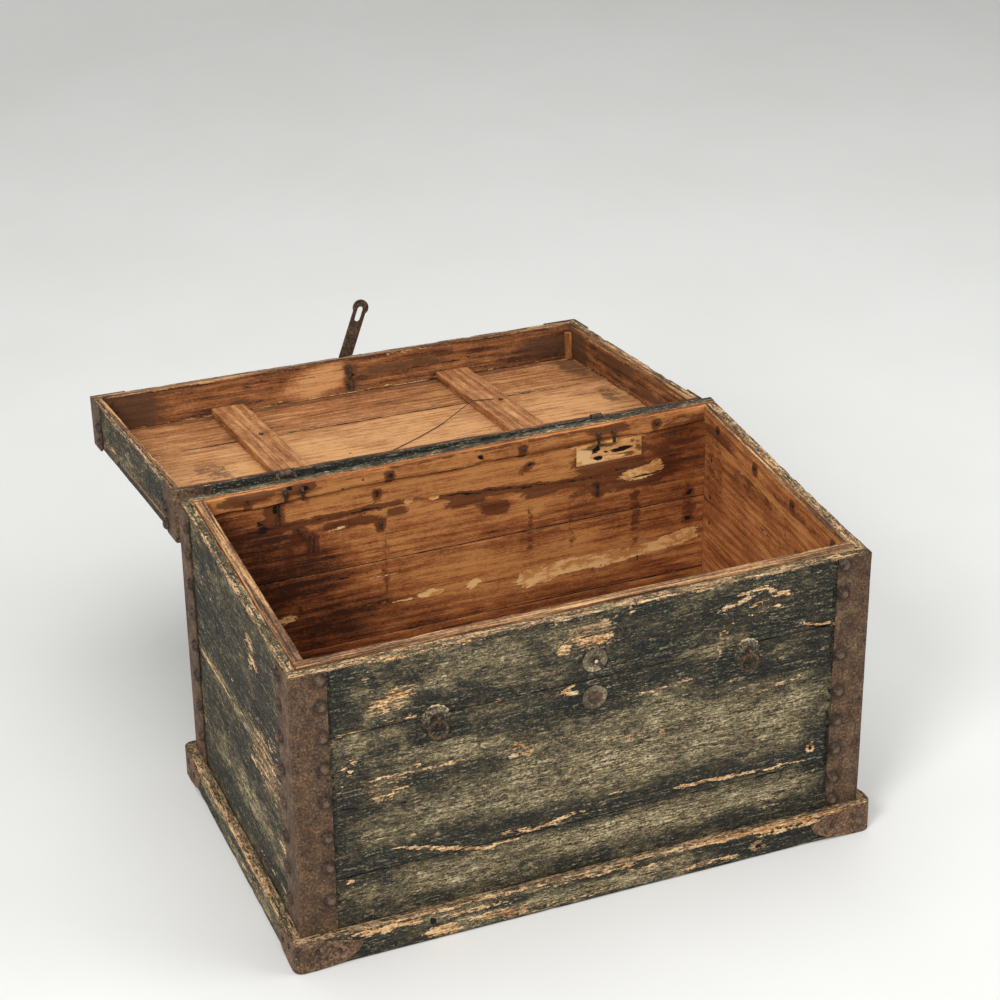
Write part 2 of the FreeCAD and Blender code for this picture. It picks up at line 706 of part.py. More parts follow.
def foot_iron(name, x_way, y_way):
    """A foot iron: two leaf legs and the bend round the corner, made at the front left."""
    legs = []
    for leg, role in (("sizes.base_leg_front", "XZ_Plane"), ("sizes.base_leg_side", "YZ_Plane")):
        leaf = plate(f"{name}_{role[:2]}", role, leaf_outline(leg), "sizes.iron_thickness")
        legs.append(leaf)
    # A pad on the XZ plane grows towards -Y, so it is drawn back by its thickness
    legs[0].Placement = Placement(Vector(0, s.iron_thickness, 0), Rotation())
    outer_radius = "sizes.plinth_corner_radius + sizes.iron_thickness"
    centre = s.plinth_corner_radius + s.iron_thickness
    facing_out = Rotation(Vector(0, 0, 1), 180)
    bend = rod(name + "_bend", outer_radius, "sizes.plinth_height", (centre, centre, 0), facing_out)
    bend.Angle = 90
    core = rod(name + "_core", "sizes.plinth_corner_radius", "sizes.plinth_height + 2*sizes.overrun",
               (centre, centre, -s.overrun))
    iron = join(name + "_joined", legs + [cut(name + "_shell", bend, [core])])
    doc.recompute()
    corner = Vector(half_width + s.plinth_thickness + s.iron_thickness,
                    half_depth + s.plinth_thickness + s.iron_thickness, 0)
    shape = iron.Shape.copy()
    if x_way > 0:
        shape = shape.mirror(Vector(), Vector(1, 0, 0))
    if y_way > 0:
        shape = shape.mirror(Vector(), Vector(0, 1, 0))
    shape.translate(Vector(x_way * corner.x, y_way * corner.y, 0))
    faces = ("back" if y_way > 0 else "front", "right" if x_way > 0 else "left")
    for face in faces:
        shape = shape.cut(base_holes[face].Shape)
    piece = doc.addObject("Part::Feature", name)
    piece.Shape = shape.Solids[0]
    keep(piece, name)


def corner_iron(name, x_way, y_way):
    """An angle of sheet iron up one corner, drilled for its studs."""
    leg = "sizes.corner_leg"
    sheet_iron = "sizes.iron_thickness"
    out_x = "(sizes.carcase_width/2 + sizes.iron_thickness)"
    out_y = "(sizes.carcase_depth/2 + sizes.iron_thickness)"
    sx = "" if x_way > 0 else "-"
    sy = "" if y_way > 0 else "-"
    outline = (
        (f"{sx}{out_x}", f"{sy}{out_y}"),
        (f"{sx}({out_x} - {leg})", f"{sy}{out_y}"),
        (f"{sx}({out_x} - {leg})", f"{sy}({out_y} - {sheet_iron})"),
        (f"{sx}({out_x} - {sheet_iron})", f"{sy}({out_y} - {sheet_iron})"),
        (f"{sx}({out_x} - {sheet_iron})", f"{sy}({out_y} - {leg})"),
        (f"{sx}{out_x}", f"{sy}({out_y} - {leg})"),
    )
    height = "sizes.back_rise - sizes.iron_back_drop"
    if y_way < 0:
        height = "sizes.front_rise - sizes.iron_front_drop"
    angle = plate(name + "_body", "XY_Plane", outline, height)
    angle.Placement = Placement(Vector(0, 0, s.plinth_height), Rotation())
    faces = ("back" if y_way > 0 else "front", "right" if x_way > 0 else "left")
    keep(cut(name + "_drilled", angle, [stud_holes[face] for face in faces]), name)


# %% Fasteners of the box
def box_fasteners():
    """Domed studs, flat nails and the clenched nails."""
    plain = stud()
    domes = []
    for face, places in box_studs.items():
        regular = places[:-len(stops)] if face == "back" else places
        domes += [placed(plain, place, turn) for place, turn in regular]
    domes += [placed(stud(height), place, TO_BACK) for place, height in stops]
    group_of("box_studs", domes)
    nails = []
    short = flat_nail(s.iron_thickness + s.stud_bite)
    for places in base_nails.values():
        nails += [placed(short, place, turn) for place, turn in places]
    for face, places in liner_nails.items():
        longer = flat_nail(value_of(LINER_BITE[face]) + s.stud_bite)
        nails += [placed(longer, place, turn) for place, turn in places]
    group_of("cut_nails", nails)


def clench_list():
    """Clenched nails of the back wall: x, z, tail length and tail lean."""
    for x_share, z_share, tail_share, lean in CLENCH_SHARES:
        yield x_share * half_width, s.plinth_height + z_share * s.back_rise, tail_share * s.corner_leg, lean


def clench_holes():
    """Through holes for the clenched nails."""
    depth = "sizes.board_thickness + 2*sizes.overrun"
    y = half_depth + s.overrun
    radius = "sizes.clench_radius + sizes.shank_clearance"
    places = [(x, y, z) for x, z, _, _ in clench_list()]
    return [rod(f"clench_hole_{n}", radius, depth, place, TO_FRONT) for n, place in enumerate(places)]


def clenched_nails():
    """Nails driven from behind, their points bent over on the inside."""
    nails = []
    inner = half_depth - s.board_thickness
    bend = inner - s.clench_radius - s.seat_gap
    for x, z, tail, lean in clench_list():
        head = Part.makeCylinder(s.nail_radius, s.nail_head, Vector(x, half_depth, z), Vector(0, 1, 0))
        way = Rotation(Vector(0, 1, 0), lean).multVec(Vector(0, 0, -1))
        elbow = Vector(x, bend, z)
        points = [Vector(x, half_depth, z), elbow, elbow + way * tail]
        nails.append(head.fuse(bent_wire(points, s.clench_radius, s.clench_bend)).removeSplitter())
    group_of("clenched_nails", nails)


def patch_recess():
    """Where the patch is let into the back wall."""
    lengths = ("sizes.patch_length + 2*sizes.patch_fit", "sizes.patch_depth + sizes.overrun",
               "sizes.patch_height + 2*sizes.patch_fit")
    corner = (patch_left - s.patch_fit, half_depth - s.board_thickness - s.overrun, patch_base - s.patch_fit)
    return block("patch_recess", lengths, corner)


def patch():
    """A pale let-in patch with an old slot in it."""
    y = half_depth - s.board_thickness
    body = block("patch_block", ("sizes.patch_length", "sizes.patch_depth", "sizes.patch_height"),
                 (patch_left, y, patch_base))
    slot_left = patch_left + s.patch_length - s.patch_slot_inset - s.patch_slot
    slot_base = patch_base + (s.patch_height - s.patch_slot_height) / 2
    lengths = ("sizes.patch_slot", "sizes.patch_depth/2 + sizes.overrun", "sizes.patch_slot_height")
    slot = block("patch_slot_block", lengths, (slot_left, y - s.overrun, slot_base))
    keep(cut("patch_slotted", body, [slot]), "repair_patch")


# %% Front hardware
def rose():
    """A round rose plate, drilled for an eye."""
    return Part.makeCylinder(s.plate_radius, s.plate_thickness).cut(
        Part.makeCylinder(s.eye_wire + s.shank_clearance, s.plate_thickness))


def ring_places():
    """The two pulls: name, x and eye height."""
    return (("ring_left", -s.left_ring, left_ring_height), ("ring_right", s.right_ring, right_ring_height))


def ring_pulls():
    """Rose plates, eye pins through the front and the hanging rings."""
    plates = []
    eyes = []
    eye_y = -half_depth - s.plate_thickness - s.eye_radius - s.eye_wire - s.shank_clearance
    inner = -half_depth + s.board_thickness
    drop = s.eye_radius - s.eye_wire - s.ring_wire - s.ring_play
    for name, x, z in ring_places():
        plates.append(placed(rose(), (x, -half_depth, z), TO_FRONT))
        eye = Part.makeTorus(s.eye_radius, s.eye_wire, Vector(x, eye_y, z), Vector(1, 0, 0))
        start = eye_y + s.eye_radius
        length = inner + s.nail_head - start
        shank = Part.makeCylinder(s.eye_wire, length, Vector(x, start, z), Vector(0, 1, 0))
        rove = Part.makeCylinder(s.nail_radius, s.nail_head, Vector(x, inner, z), Vector(0, 1, 0))
        eyes.append(eye.multiFuse([shank, rove]))
        ring = doc.addObject("Part::Torus", name + "_torus")
        ring.setExpression("Radius1", "sizes.ring_radius")
        ring.setExpression("Radius2", "sizes.ring_wire")
        ring.Placement = Placement(Vector(x, eye_y, z - drop - s.ring_radius), TO_FRONT)
        keep(ring, name)
    group_of("ring_plates", plates)
    group_of("ring_eyes", eyes)


def lock_place():
    """Two washers, the lock pin with its folded end, and the dome nail."""
    y = -half_depth
    washers = []
    for z, bore in ((washer_height, s.pin_radius), (rosette_height, s.shank_radius)):
        disc = Part.makeCylinder(s.washer_radius, s.washer_thickness)
        bored = disc.cut(Part.makeCylinder(bore + s.shank_clearance, s.washer_thickness))
        washers.append(placed(bored, (s.lock_offset, y, z), TO_FRONT))
    group_of("front_washers", washers)
    front = y - s.washer_thickness
    length = s.board_thickness + s.washer_thickness + s.pin_proud + s.iron_thickness
    pin = Part.makeCylinder(s.pin_radius, length, Vector(s.lock_offset, front - s.pin_proud, washer_height),
                            Vector(0, 1, 0))
    flap = Part.makeBox(s.tail_width, s.tail_thickness, s.pin_tail, Vector(-s.tail_width / 2, 0, -s.pin_tail))
    flap.Placement = Placement(Vector(s.lock_offset, front - s.tail_thickness - s.seat_gap, washer_height),
                               Rotation(Vector(0, 1, 0), -s.tail_lean_angle))
    inside = Vector(s.lock_offset, y + s.board_thickness, washer_height)
    rove = Part.makeCylinder(s.rove_radius, s.nail_head, inside, Vector(0, 1, 0))
    lock_pin = doc.addObject("Part::Feature", "lock_pin")
    lock_pin.Shape = pin.multiFuse([flap, rove])
    keep(lock_pin, "lock_pin")
    shank = Part.makeCylinder(s.shank_radius, s.stud_bite, Vector(0, 0, -s.stud_bite))
    nail = doc.addObject("Part::Feature", "dome_nail")
    nail.Shape = dome(s.dome_radius, s.dome_height).fuse(shank).removeSplitter()
    nail.Placement = Placement(Vector(s.lock_offset, front, rosette_height), TO_FRONT)
    keep(nail, "dome_nail")


# %% Hinges
def hinge_places():
    """Centre of each hinge on the tilted axis."""
    for x in (-s.left_hinge, s.right_hinge):
        yield hinge_centre + hinge_axis * (x / hinge_axis.x)


leg_way = Rotation(Vector(1, 0, 0), s.staple_dip_angle).multVec(Vector(0, -1, 0))


def staple_legs():
    """Start of each staple leg on the hinge axis."""
    for centre in hinge_places():
        for side in (-1, 1):
            yield centre + hinge_axis * (side * s.staple_span / 2)


def staple_holes(name):
    """Sloping holes for the staple legs through the back wall."""
    reach = "sizes.hinge_setback + sizes.board_thickness + sizes.liner_thin + 3*sizes.overrun"
    turn = Rotation(Vector(0, 0, 1), leg_way)
    radius = "sizes.staple_wire + sizes.shank_clearance"
    label = f"{name}_staple_hole"
    return [rod(f"{label}_{n}", radius, reach, start, turn) for n, start in enumerate(staple_legs())]


def hinge_staples():
    """Wire staples whose crowns are the hinge pins; their ends are bent over inside."""
    wire = s.staple_wire
    inner = half_depth - s.board_thickness - s.liner_thin - wire - s.seat_gap
    staples = []
    for centre in hinge_places():
        half = hinge_axis * (s.staple_span / 2)
        ends = []
        for start in (centre - half, centre + half):
            bend = start + leg_way * ((start.y - inner) / -leg_way.y)
            ends.append([bend - Vector(0, 0, s.staple_tail), bend, start])
        points = ends[0] + ends[1][::-1]
        staples.append(bent_wire(points, wire, s.staple_bend))
    group_of("hinge_staples", staples)


def hinge_leaves():
    """Sheet leaves on the lid's hinge side, each rolled round its staple."""
    back_to_lid = lid_closed.inverse()
    inner = s.staple_wire + s.knuckle_clearance
    leaves = []
    for centre in hinge_places():
        place = back_to_lid.multVec(centre)
        way = back_to_lid.Rotation.multVec(hinge_axis)
        start = place - way * (s.knuckle_width / 2)
        tube = Part.makeCylinder(inner + s.iron_thickness, s.knuckle_width, start, way)
        x = place.x
        neck_depth = place.y + inner
        neck = Part.makeBox(s.neck_width, neck_depth, s.iron_thickness,
                            Vector(x - s.neck_width / 2, 0, place.z + inner))
        leaf_corner = Vector(x - s.leaf_width / 2, 0, s.leaf_start)
        leaf = Part.makeBox(s.leaf_width, s.iron_thickness, s.leaf_height, leaf_corner)
        stem_top = s.leaf_start + s.iron_thickness
        stem_base = place.z + inner
        stem = Part.makeBox(s.neck_width, s.iron_thickness, stem_top - stem_base,
                            Vector(x - s.neck_width / 2, 0, stem_base))
        solid = tube.multiFuse([neck, leaf, stem])
        bore_length = s.knuckle_width + 2 * s.overrun
        solid = solid.cut(Part.makeCylinder(inner, bore_length, start - way * s.overrun, way))
        for side in (-1, 1):
            hole = Vector(x + side * s.leaf_nail_reach, -s.overrun, s.leaf_start + s.leaf_height / 2)
            depth = s.iron_thickness + 2 * s.overrun
            drill = Part.makeCylinder(s.shank_radius + s.shank_clearance, depth, hole, Vector(0, 1, 0))
            solid = solid.cut(drill)
        leaves.append(solid.removeSplitter())
    group_of("hinge_leaves", leaves, LID)


def leaf_nail_places():
    """Nails that hold the hinge leaves to the lid, in the lid's frame."""
    back_to_lid = lid_closed.inverse()
    for centre in hinge_places():
        x = back_to_lid.multVec(centre).x
        for side in (-1, 1):
            place = (x + side * s.leaf_nail_reach, s.iron_thickness, s.leaf_start + s.leaf_height / 2)
            yield place, TO_BACK


# %% Lid wood, in the closed lid's own frame: Y = 0 at the hinge side, Z = 0 at the rim
# One nail in each batten: its share across the batten from the middle, and
# its share of the lid's depth from the hinge side
BATTEN_NAIL_SHARES = ((0.1, 0.635), (0.2, 0.58))
lid_holes = holes("lid_holes", lid_studs + list(leaf_nail_places()),
                  "sizes.iron_thickness + sizes.stud_bite + sizes.seat_gap")


def batten_nail_places():
    """Nails through the battens into the lid boards, from inside the tray."""
    z = s.lid_height - s.lid_board_thickness - s.batten_thickness
    for middle, (across, along) in zip((-s.left_batten, s.right_batten), BATTEN_NAIL_SHARES):
        x = middle + across * s.batten_width
        yield (x, -along * s.carcase_depth, z), Rotation(Vector(1, 0, 0), 180)


batten_holes = holes("batten_holes", list(batten_nail_places()), "sizes.batten_thickness + sizes.stud_bite")


def lid_wood():
    """Four rails, two top boards, two battens and a glue strip."""
    rail_height = "sizes.lid_height - sizes.lid_board_thickness"
    thickness = "sizes.rail_thickness"
    place = (s.lock_offset, -s.carcase_depth - s.overrun, s.hasp_rise)
    radius = "sizes.pin_radius + sizes.shank_clearance"
    pin = rod("hasp_pin_hole", radius, "sizes.rail_thickness + 2*sizes.overrun", place, TO_BACK)
    long_rails = (("lid_rail_hinge", -s.rail_thickness, []), ("lid_rail_front", -s.carcase_depth, [pin]))
    for name, y, extra in long_rails:
        rail = block(name + "_block", ("sizes.carcase_width", thickness, rail_height), (-half_width, y, 0))
        keep(cut(name + "_drilled", rail, [lid_holes] + extra), name, LID)
    between = "sizes.carcase_depth - 2*sizes.rail_thickness"
    inner_front = -s.carcase_depth + s.rail_thickness
    for name, x in (("lid_rail_left", -half_width), ("lid_rail_right", half_width - s.rail_thickness)):
        rail = block(name + "_block", (thickness, between, rail_height), (x, inner_front, 0))
        keep(cut(name + "_drilled", rail, [lid_holes]), name, LID)
    top = s.lid_height - s.lid_board_thickness
    boards = (
        ("lid_board_hinge", "sizes.lid_joint - sizes.plank_gap", -s.lid_joint + s.plank_gap),
        ("lid_board_front", "sizes.carcase_depth - sizes.lid_joint", -s.carcase_depth),
    )
    for name, width, y in boards:
        lengths = ("sizes.carcase_width", width, "sizes.lid_board_thickness")
        board = block(name + "_block", lengths, (-half_width, y, top))
        keep(cut(name + "_drilled", board, [lid_holes, batten_holes]), name, LID)
    for name, x in (("batten_left", -s.left_batten), ("batten_right", s.right_batten)):
        length = "sizes.carcase_depth - 2*sizes.rail_thickness - 2*sizes.batten_play"
        corner = (x - s.batten_width / 2, inner_front + s.batten_play, top - s.batten_thickness)
        batten = block(name + "_block", ("sizes.batten_width", length, "sizes.batten_thickness"), corner)
        keep(cut(name + "_drilled", batten, [batten_holes]), name, LID)
    strip_length = "sizes.lid_height - sizes.lid_board_thickness - sizes.hasp_rise"
    corner = (half_width - s.rail_thickness - s.corner_strip, inner_front, s.hasp_rise)
    lengths = ("sizes.corner_strip", "sizes.corner_strip", strip_length)
    strip = block("lid_corner_strip_block", lengths, corner)
    keep(strip, "lid_corner_strip", LID)


def lid_iron(name, x_way, y_way):
    """A lid corner iron: two legs with rounded ends past the lid top."""
    rise = "sizes.lid_height + sizes.lid_iron_overhang"
    outline = (
        ("0", "sizes.iron_thickness"),
        ("sizes.lid_leg", "sizes.iron_thickness"),
        ("sizes.lid_leg", rise),
        ("0", rise),
    )
    legs = []
    for role in ("XZ_Plane", "YZ_Plane"):
        leg = plate(f"{name}_{role[:2]}", role, outline, "sizes.iron_thickness")
        top = value_of(rise)
        free = (s.lid_leg, None, top) if role == "XZ_Plane" else (None, s.lid_leg, top)
        legs.append(round_corners(leg, [free], "sizes.lid_iron_round"))
    legs[0].Placement = Placement(Vector(0, s.iron_thickness, 0), Rotation())
    iron = join(name + "_joined", legs)
    doc.recompute()
    shape = iron.Shape.copy()
    if x_way > 0:
        shape = shape.mirror(Vector(), Vector(1, 0, 0))
    if y_way > 0:
        shape = shape.mirror(Vector(), Vector(0, 1, 0))
    y_corner = s.iron_thickness if y_way > 0 else -s.carcase_depth - s.iron_thickness
    shape.translate(Vector(x_way * iron_side, y_corner, 0))
    piece = doc.addObject("Part::Feature", name)
    piece.Shape = shape.cut(lid_holes.Shape).Solids[0]
    keep(piece, name, LID)


def lid_fasteners():
    """Lid studs, hinge leaf nails and batten nails."""
    group_of("lid_studs", [placed(stud(), place, turn) for place, turn in lid_studs], LID)
    leaf_nail = flat_nail(s.iron_thickness + s.stud_bite)
    batten_nail = flat_nail(s.batten_thickness + s.stud_bite)
    nails = [placed(leaf_nail, place, turn) for place, turn in leaf_nail_places()]
    nails += [placed(batten_nail, place, turn) for place, turn in batten_nail_places()]
    group_of("lid_nails", nails, LID)


# Route of the lid wire, as shares of the right batten's place and of the lid's
# depth: the free part, after its start on the batten and its step off the edge
WIRE_START_SHARES = (1.010, 0.590)
WIRE_STEP_SHARE = 0.608
WIRE_SHARES = ((0.457, 0.518), (0.176, 0.435), (-0.158, 0.350))


def lid_wire():
    """A stray wire held by the right batten nail, bowed across the tray."""
    floor = s.lid_height - s.lid_board_thickness - s.wire_radius - s.seat_gap
    over = floor - s.batten_thickness
    across, along = WIRE_START_SHARES
    edge = s.right_batten - s.batten_width / 2 - s.wire_step
    points = [
        Vector(across * s.right_batten, -along * s.carcase_depth, over),
        Vector(edge, -WIRE_STEP_SHARE * s.carcase_depth, over),
    ]
    for across, along in WIRE_SHARES:
        points.append(Vector(across * s.right_batten, -along * s.carcase_depth, floor))
    wire = doc.addObject("Part::Feature", "lid_wire")
    wire.Shape = bent_wire(points, s.wire_radius, s.wire_bend)
    keep(wire, "lid_wire", LID)


# %% Hasp, in its own frame: origin at the pivot, X along the bar, Z up, strap hanging down
def hasp_frame():
    """Where the hasp's pivot stands on the lid, leaning at rest."""
    eye = s.hasp_bar + s.hasp_play + 2 * s.hasp_eye_wire
    pivot = Vector(s.lock_offset, -s.carcase_depth - s.seat_gap - eye, s.hasp_rise)
    return LID.multiply(Placement(pivot, Rotation(Vector(0, 1, 0), -s.hasp_lean_angle)))


HASP = hasp_frame()


def hasp():
    """A strap with a round slotted end, hung on a bar at its top."""
    straight = "sizes.hasp_length - sizes.hasp_head"
    strap = block("hasp_strap", ("sizes.hasp_width", "sizes.hasp_thickness", straight),
                  (-s.hasp_width / 2, -s.hasp_thickness / 2, -s.hasp_length + s.hasp_head))
    face = -s.hasp_thickness / 2
    head = rod("hasp_head", "sizes.hasp_head", "sizes.hasp_thickness",
               (0, -face, -s.hasp_length + s.hasp_head), TO_FRONT)
    bar = rod("hasp_bar_rod", "sizes.hasp_bar", "sizes.hasp_width", (-s.hasp_width / 2, 0, 0), TO_RIGHT)
    blank = join("hasp_blank", [strap, head])
    half_slot = s.slot_width / 2
    low = -s.hasp_length + s.slot_margin + half_slot
    high = low + s.slot_length - s.slot_width
    depth = "sizes.hasp_thickness + 2*sizes.overrun"
    y = -s.hasp_thickness / 2 - s.overrun
    middle = block("hasp_slot_middle", ("sizes.slot_width", depth, "sizes.slot_length - sizes.slot_width"),
                   (-half_slot, y, low))
    ends = [rod(f"hasp_slot_end_{n}", "sizes.slot_width/2", depth, (0, -y, z), TO_FRONT)
            for n, z in enumerate((low, high))]
    slot = join("hasp_slot_cutter", [middle] + ends)
    window = block("hasp_window", ("sizes.window_width", depth, "sizes.window_reach"),
                   (-s.window_width / 2, y, -s.window_reach))
    keep(join("hasp_whole", [cut("hasp_cut", blank, [slot, window]), bar]), "hasp", HASP)


def hasp_pin():
    """The eye pin through the lid rail, its end bent over on the wood inside."""
    ring = s.hasp_bar + s.hasp_play + s.hasp_eye_wire
    eye = Part.makeTorus(ring, s.hasp_eye_wire, Vector(), Vector(1, 0, 0))
    wall = ring + s.hasp_eye_wire + s.seat_gap
    reach = wall + s.rail_thickness + s.seat_gap + s.clench_thickness
    shank = Part.makeCylinder(s.pin_radius, reach - ring, Vector(0, ring, 0), Vector(0, 1, 0))
    tail = Part.makeBox(s.clench_width, s.clench_thickness, s.clench_length,
                        Vector(-s.clench_width / 2, reach - s.clench_thickness, -s.pin_radius))
    tail_turn = Rotation(Vector(0, 1, 0), s.hasp_lean_angle + s.clench_lean_angle)
    tail.Placement = Placement(Vector(), tail_turn).multiply(tail.Placement)
    pin = doc.addObject("Part::Feature", "hasp_pin")
    pin.Shape = eye.multiFuse([shank, tail])
    keep(pin, "hasp_pin", HASP)


# %% Make everything
bottom_boards()
front_wall()
back_wall()
side_wall("left", "sizes.left_low_width")
side_wall("right", "sizes.right_low_width")
liners()
plinth()
for y_name, y_way in (("front", -1), ("back", 1)):
    for x_name, x_way in (("left", -1), ("right", 1)):
        foot_iron(f"foot_iron_{y_name}_{x_name}", x_way, y_way)
        corner_iron(f"corner_iron_{y_name}_{x_name}", x_way, y_way)
box_fasteners()
clenched_nails()
patch()
ring_pulls()
lock_place()
hinge_staples()
hinge_leaves()
lid_wood()
for y_name, y_way in (("front", -1), ("hinge", 1)):
    for x_name, x_way in (("left", -1), ("right", 1)):
        lid_iron(f"lid_iron_{y_name}_{x_name}", x_way, y_way)
lid_fasteners()
lid_wire()
hasp()
hasp_pin()
doc.recompute()

# %% Check and write
for item in doc.Objects:
    faults = [state for state in item.State if state in ("Invalid", "Error")]
    if faults:
        raise SystemExit(f"{item.Name} failed: {faults}")
for item in finished:
    if item.Shape.isNull() or not item.Shape.isValid():
        raise SystemExit(f"{item.Label} has no valid shape")

os.makedirs("parts", exist_ok=True)
for item in finished:
    item.Shape.exportStep(f"parts/{item.Label}.step")
    print(f"{item.Label:26s} {len(item.Shape.Solids):3d} solids {item.Shape.Volume / 1000:10.2f} cm3")
print(len(finished), "sub-parts; hinge centre", tuple(round(v, 3) for v in hinge_centre),
      "axis", tuple(round(v, 5) for v in hinge_axis))
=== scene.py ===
# %% [markdown]
# An old painted storage chest, bound with rusty iron, its tray lid thrown back.
# The construction comes packed from the CAD model: every board, strap and nail
# has its name, its place and the body that it moves with. This lesson dresses
# that frame: each board becomes a worn, grained plank, each strap a rusty sheet.

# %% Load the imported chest
import math
import random

import bpy
import numpy as np
from mathutils import Matrix, Vector


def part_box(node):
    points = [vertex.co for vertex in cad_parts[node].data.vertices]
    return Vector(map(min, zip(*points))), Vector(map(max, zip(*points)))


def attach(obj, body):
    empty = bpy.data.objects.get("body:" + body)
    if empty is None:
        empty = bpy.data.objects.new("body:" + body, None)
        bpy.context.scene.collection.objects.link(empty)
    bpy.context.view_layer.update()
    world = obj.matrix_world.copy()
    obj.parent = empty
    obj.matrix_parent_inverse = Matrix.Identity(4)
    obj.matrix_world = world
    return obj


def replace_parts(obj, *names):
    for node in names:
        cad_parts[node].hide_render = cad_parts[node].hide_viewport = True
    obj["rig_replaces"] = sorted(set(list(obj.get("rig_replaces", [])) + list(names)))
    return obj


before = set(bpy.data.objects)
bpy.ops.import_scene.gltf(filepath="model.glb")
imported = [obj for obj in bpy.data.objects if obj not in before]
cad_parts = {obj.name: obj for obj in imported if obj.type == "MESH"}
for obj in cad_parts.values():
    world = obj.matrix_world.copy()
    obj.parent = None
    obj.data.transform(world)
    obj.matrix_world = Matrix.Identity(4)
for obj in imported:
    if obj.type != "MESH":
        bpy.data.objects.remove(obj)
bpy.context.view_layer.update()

MM = 0.001

# %% [markdown]
# The lid was built closed and then thrown back round its hinge pins, which
# lie a little out of level. The same turn is written here once, so a lid board
# can be made flat and square and then carried to where the open lid lies. The
# box's rim climbs 10 mm over its depth, and the closed lid lies on that slope.

# %% The open lid's place
SIDE_CLIMB, SIDE_DEPTH = 10, 415
HALF_DEPTH = 207.5
RIM_SLOPE = math.atan2(SIDE_CLIMB, SIDE_DEPTH)
OPEN_TURN = math.radians(180 + 8.21) + RIM_SLOPE
HINGE_CENTRE = Vector((0, 219.65, 386.14)) * MM
HINGE_AXIS = Matrix.Rotation(math.radians(0.52), 3, "Y") @ Vector((1, 0, 0))
lid_closed = (Matrix.Translation(Vector((0, HALF_DEPTH, 389.4)) * MM)
              @ Matrix.Rotation(RIM_SLOPE, 4, "X"))
lid_swing = (Matrix.Translation(HINGE_CENTRE) @ Matrix.Rotation(-OPEN_TURN, 4, HINGE_AXIS)
             @ Matrix.Translation(-HINGE_CENTRE))
LID = lid_swing @ lid_closed
print("lid base, mm", [round(v / MM, 2) for v in LID.translation])

# %% [markdown]
# The camera stands where the photographer stood: in front of the chest, to its
# left and well above it, with a long lens. The three axes of the view are
# worked out from its compass angle, its height angle and a slight roll.

# %% Camera
VIEW_AZIMUTH, VIEW_HEIGHT, VIEW_ROLL = (math.radians(a) for a in (-21.672, 28.273, -0.699))
CAMERA_PLACE = (-1.01555, -2.49820, 1.86702)
LENS_PIXELS, PHOTO_PIXELS = 2655.1, 1000
SENSOR = 36.0
toward_camera = Vector((math.sin(VIEW_AZIMUTH) * math.cos(VIEW_HEIGHT),
                        -math.cos(VIEW_AZIMUTH) * math.cos(VIEW_HEIGHT), math.sin(VIEW_HEIGHT)))
level_right = (-toward_camera).cross(Vector((0, 0, 1))).normalized()
level_up = level_right.cross(-toward_camera)
right = level_right * math.cos(VIEW_ROLL) + level_up * math.sin(VIEW_ROLL)
up = -level_right * math.sin(VIEW_ROLL) + level_up * math.cos(VIEW_ROLL)
bpy.ops.object.select_all(action="DESELECT")
bpy.ops.object.camera_add()
camera = bpy.context.object
camera.name = "photo_camera"
camera.matrix_world = Matrix((right, up, toward_camera)).transposed().to_4x4()
camera.location = CAMERA_PLACE
camera.data.sensor_width = SENSOR
camera.data.lens = SENSOR * LENS_PIXELS / PHOTO_PIXELS
camera.data.clip_end = 50
bpy.context.scene.camera = camera
print("lens", round(camera.data.lens, 2), "mm")

# %% [markdown]
# A material is a tree of nodes. Each colour is written as it is seen on a
# screen, from 0 to 255, and turned into the linear light that the renderer
# adds up. The bench below adds one node at a time and hands back its output.

# %% Node bench
def seen(red, green, blue):
    """A screen colour as linear light."""
    def linear(part):
        part /= 255
        return part / 12.92 if part <= 0.04045 else ((part + 0.055) / 1.055) ** 2.4
    return (linear(red), linear(green), linear(blue), 1)


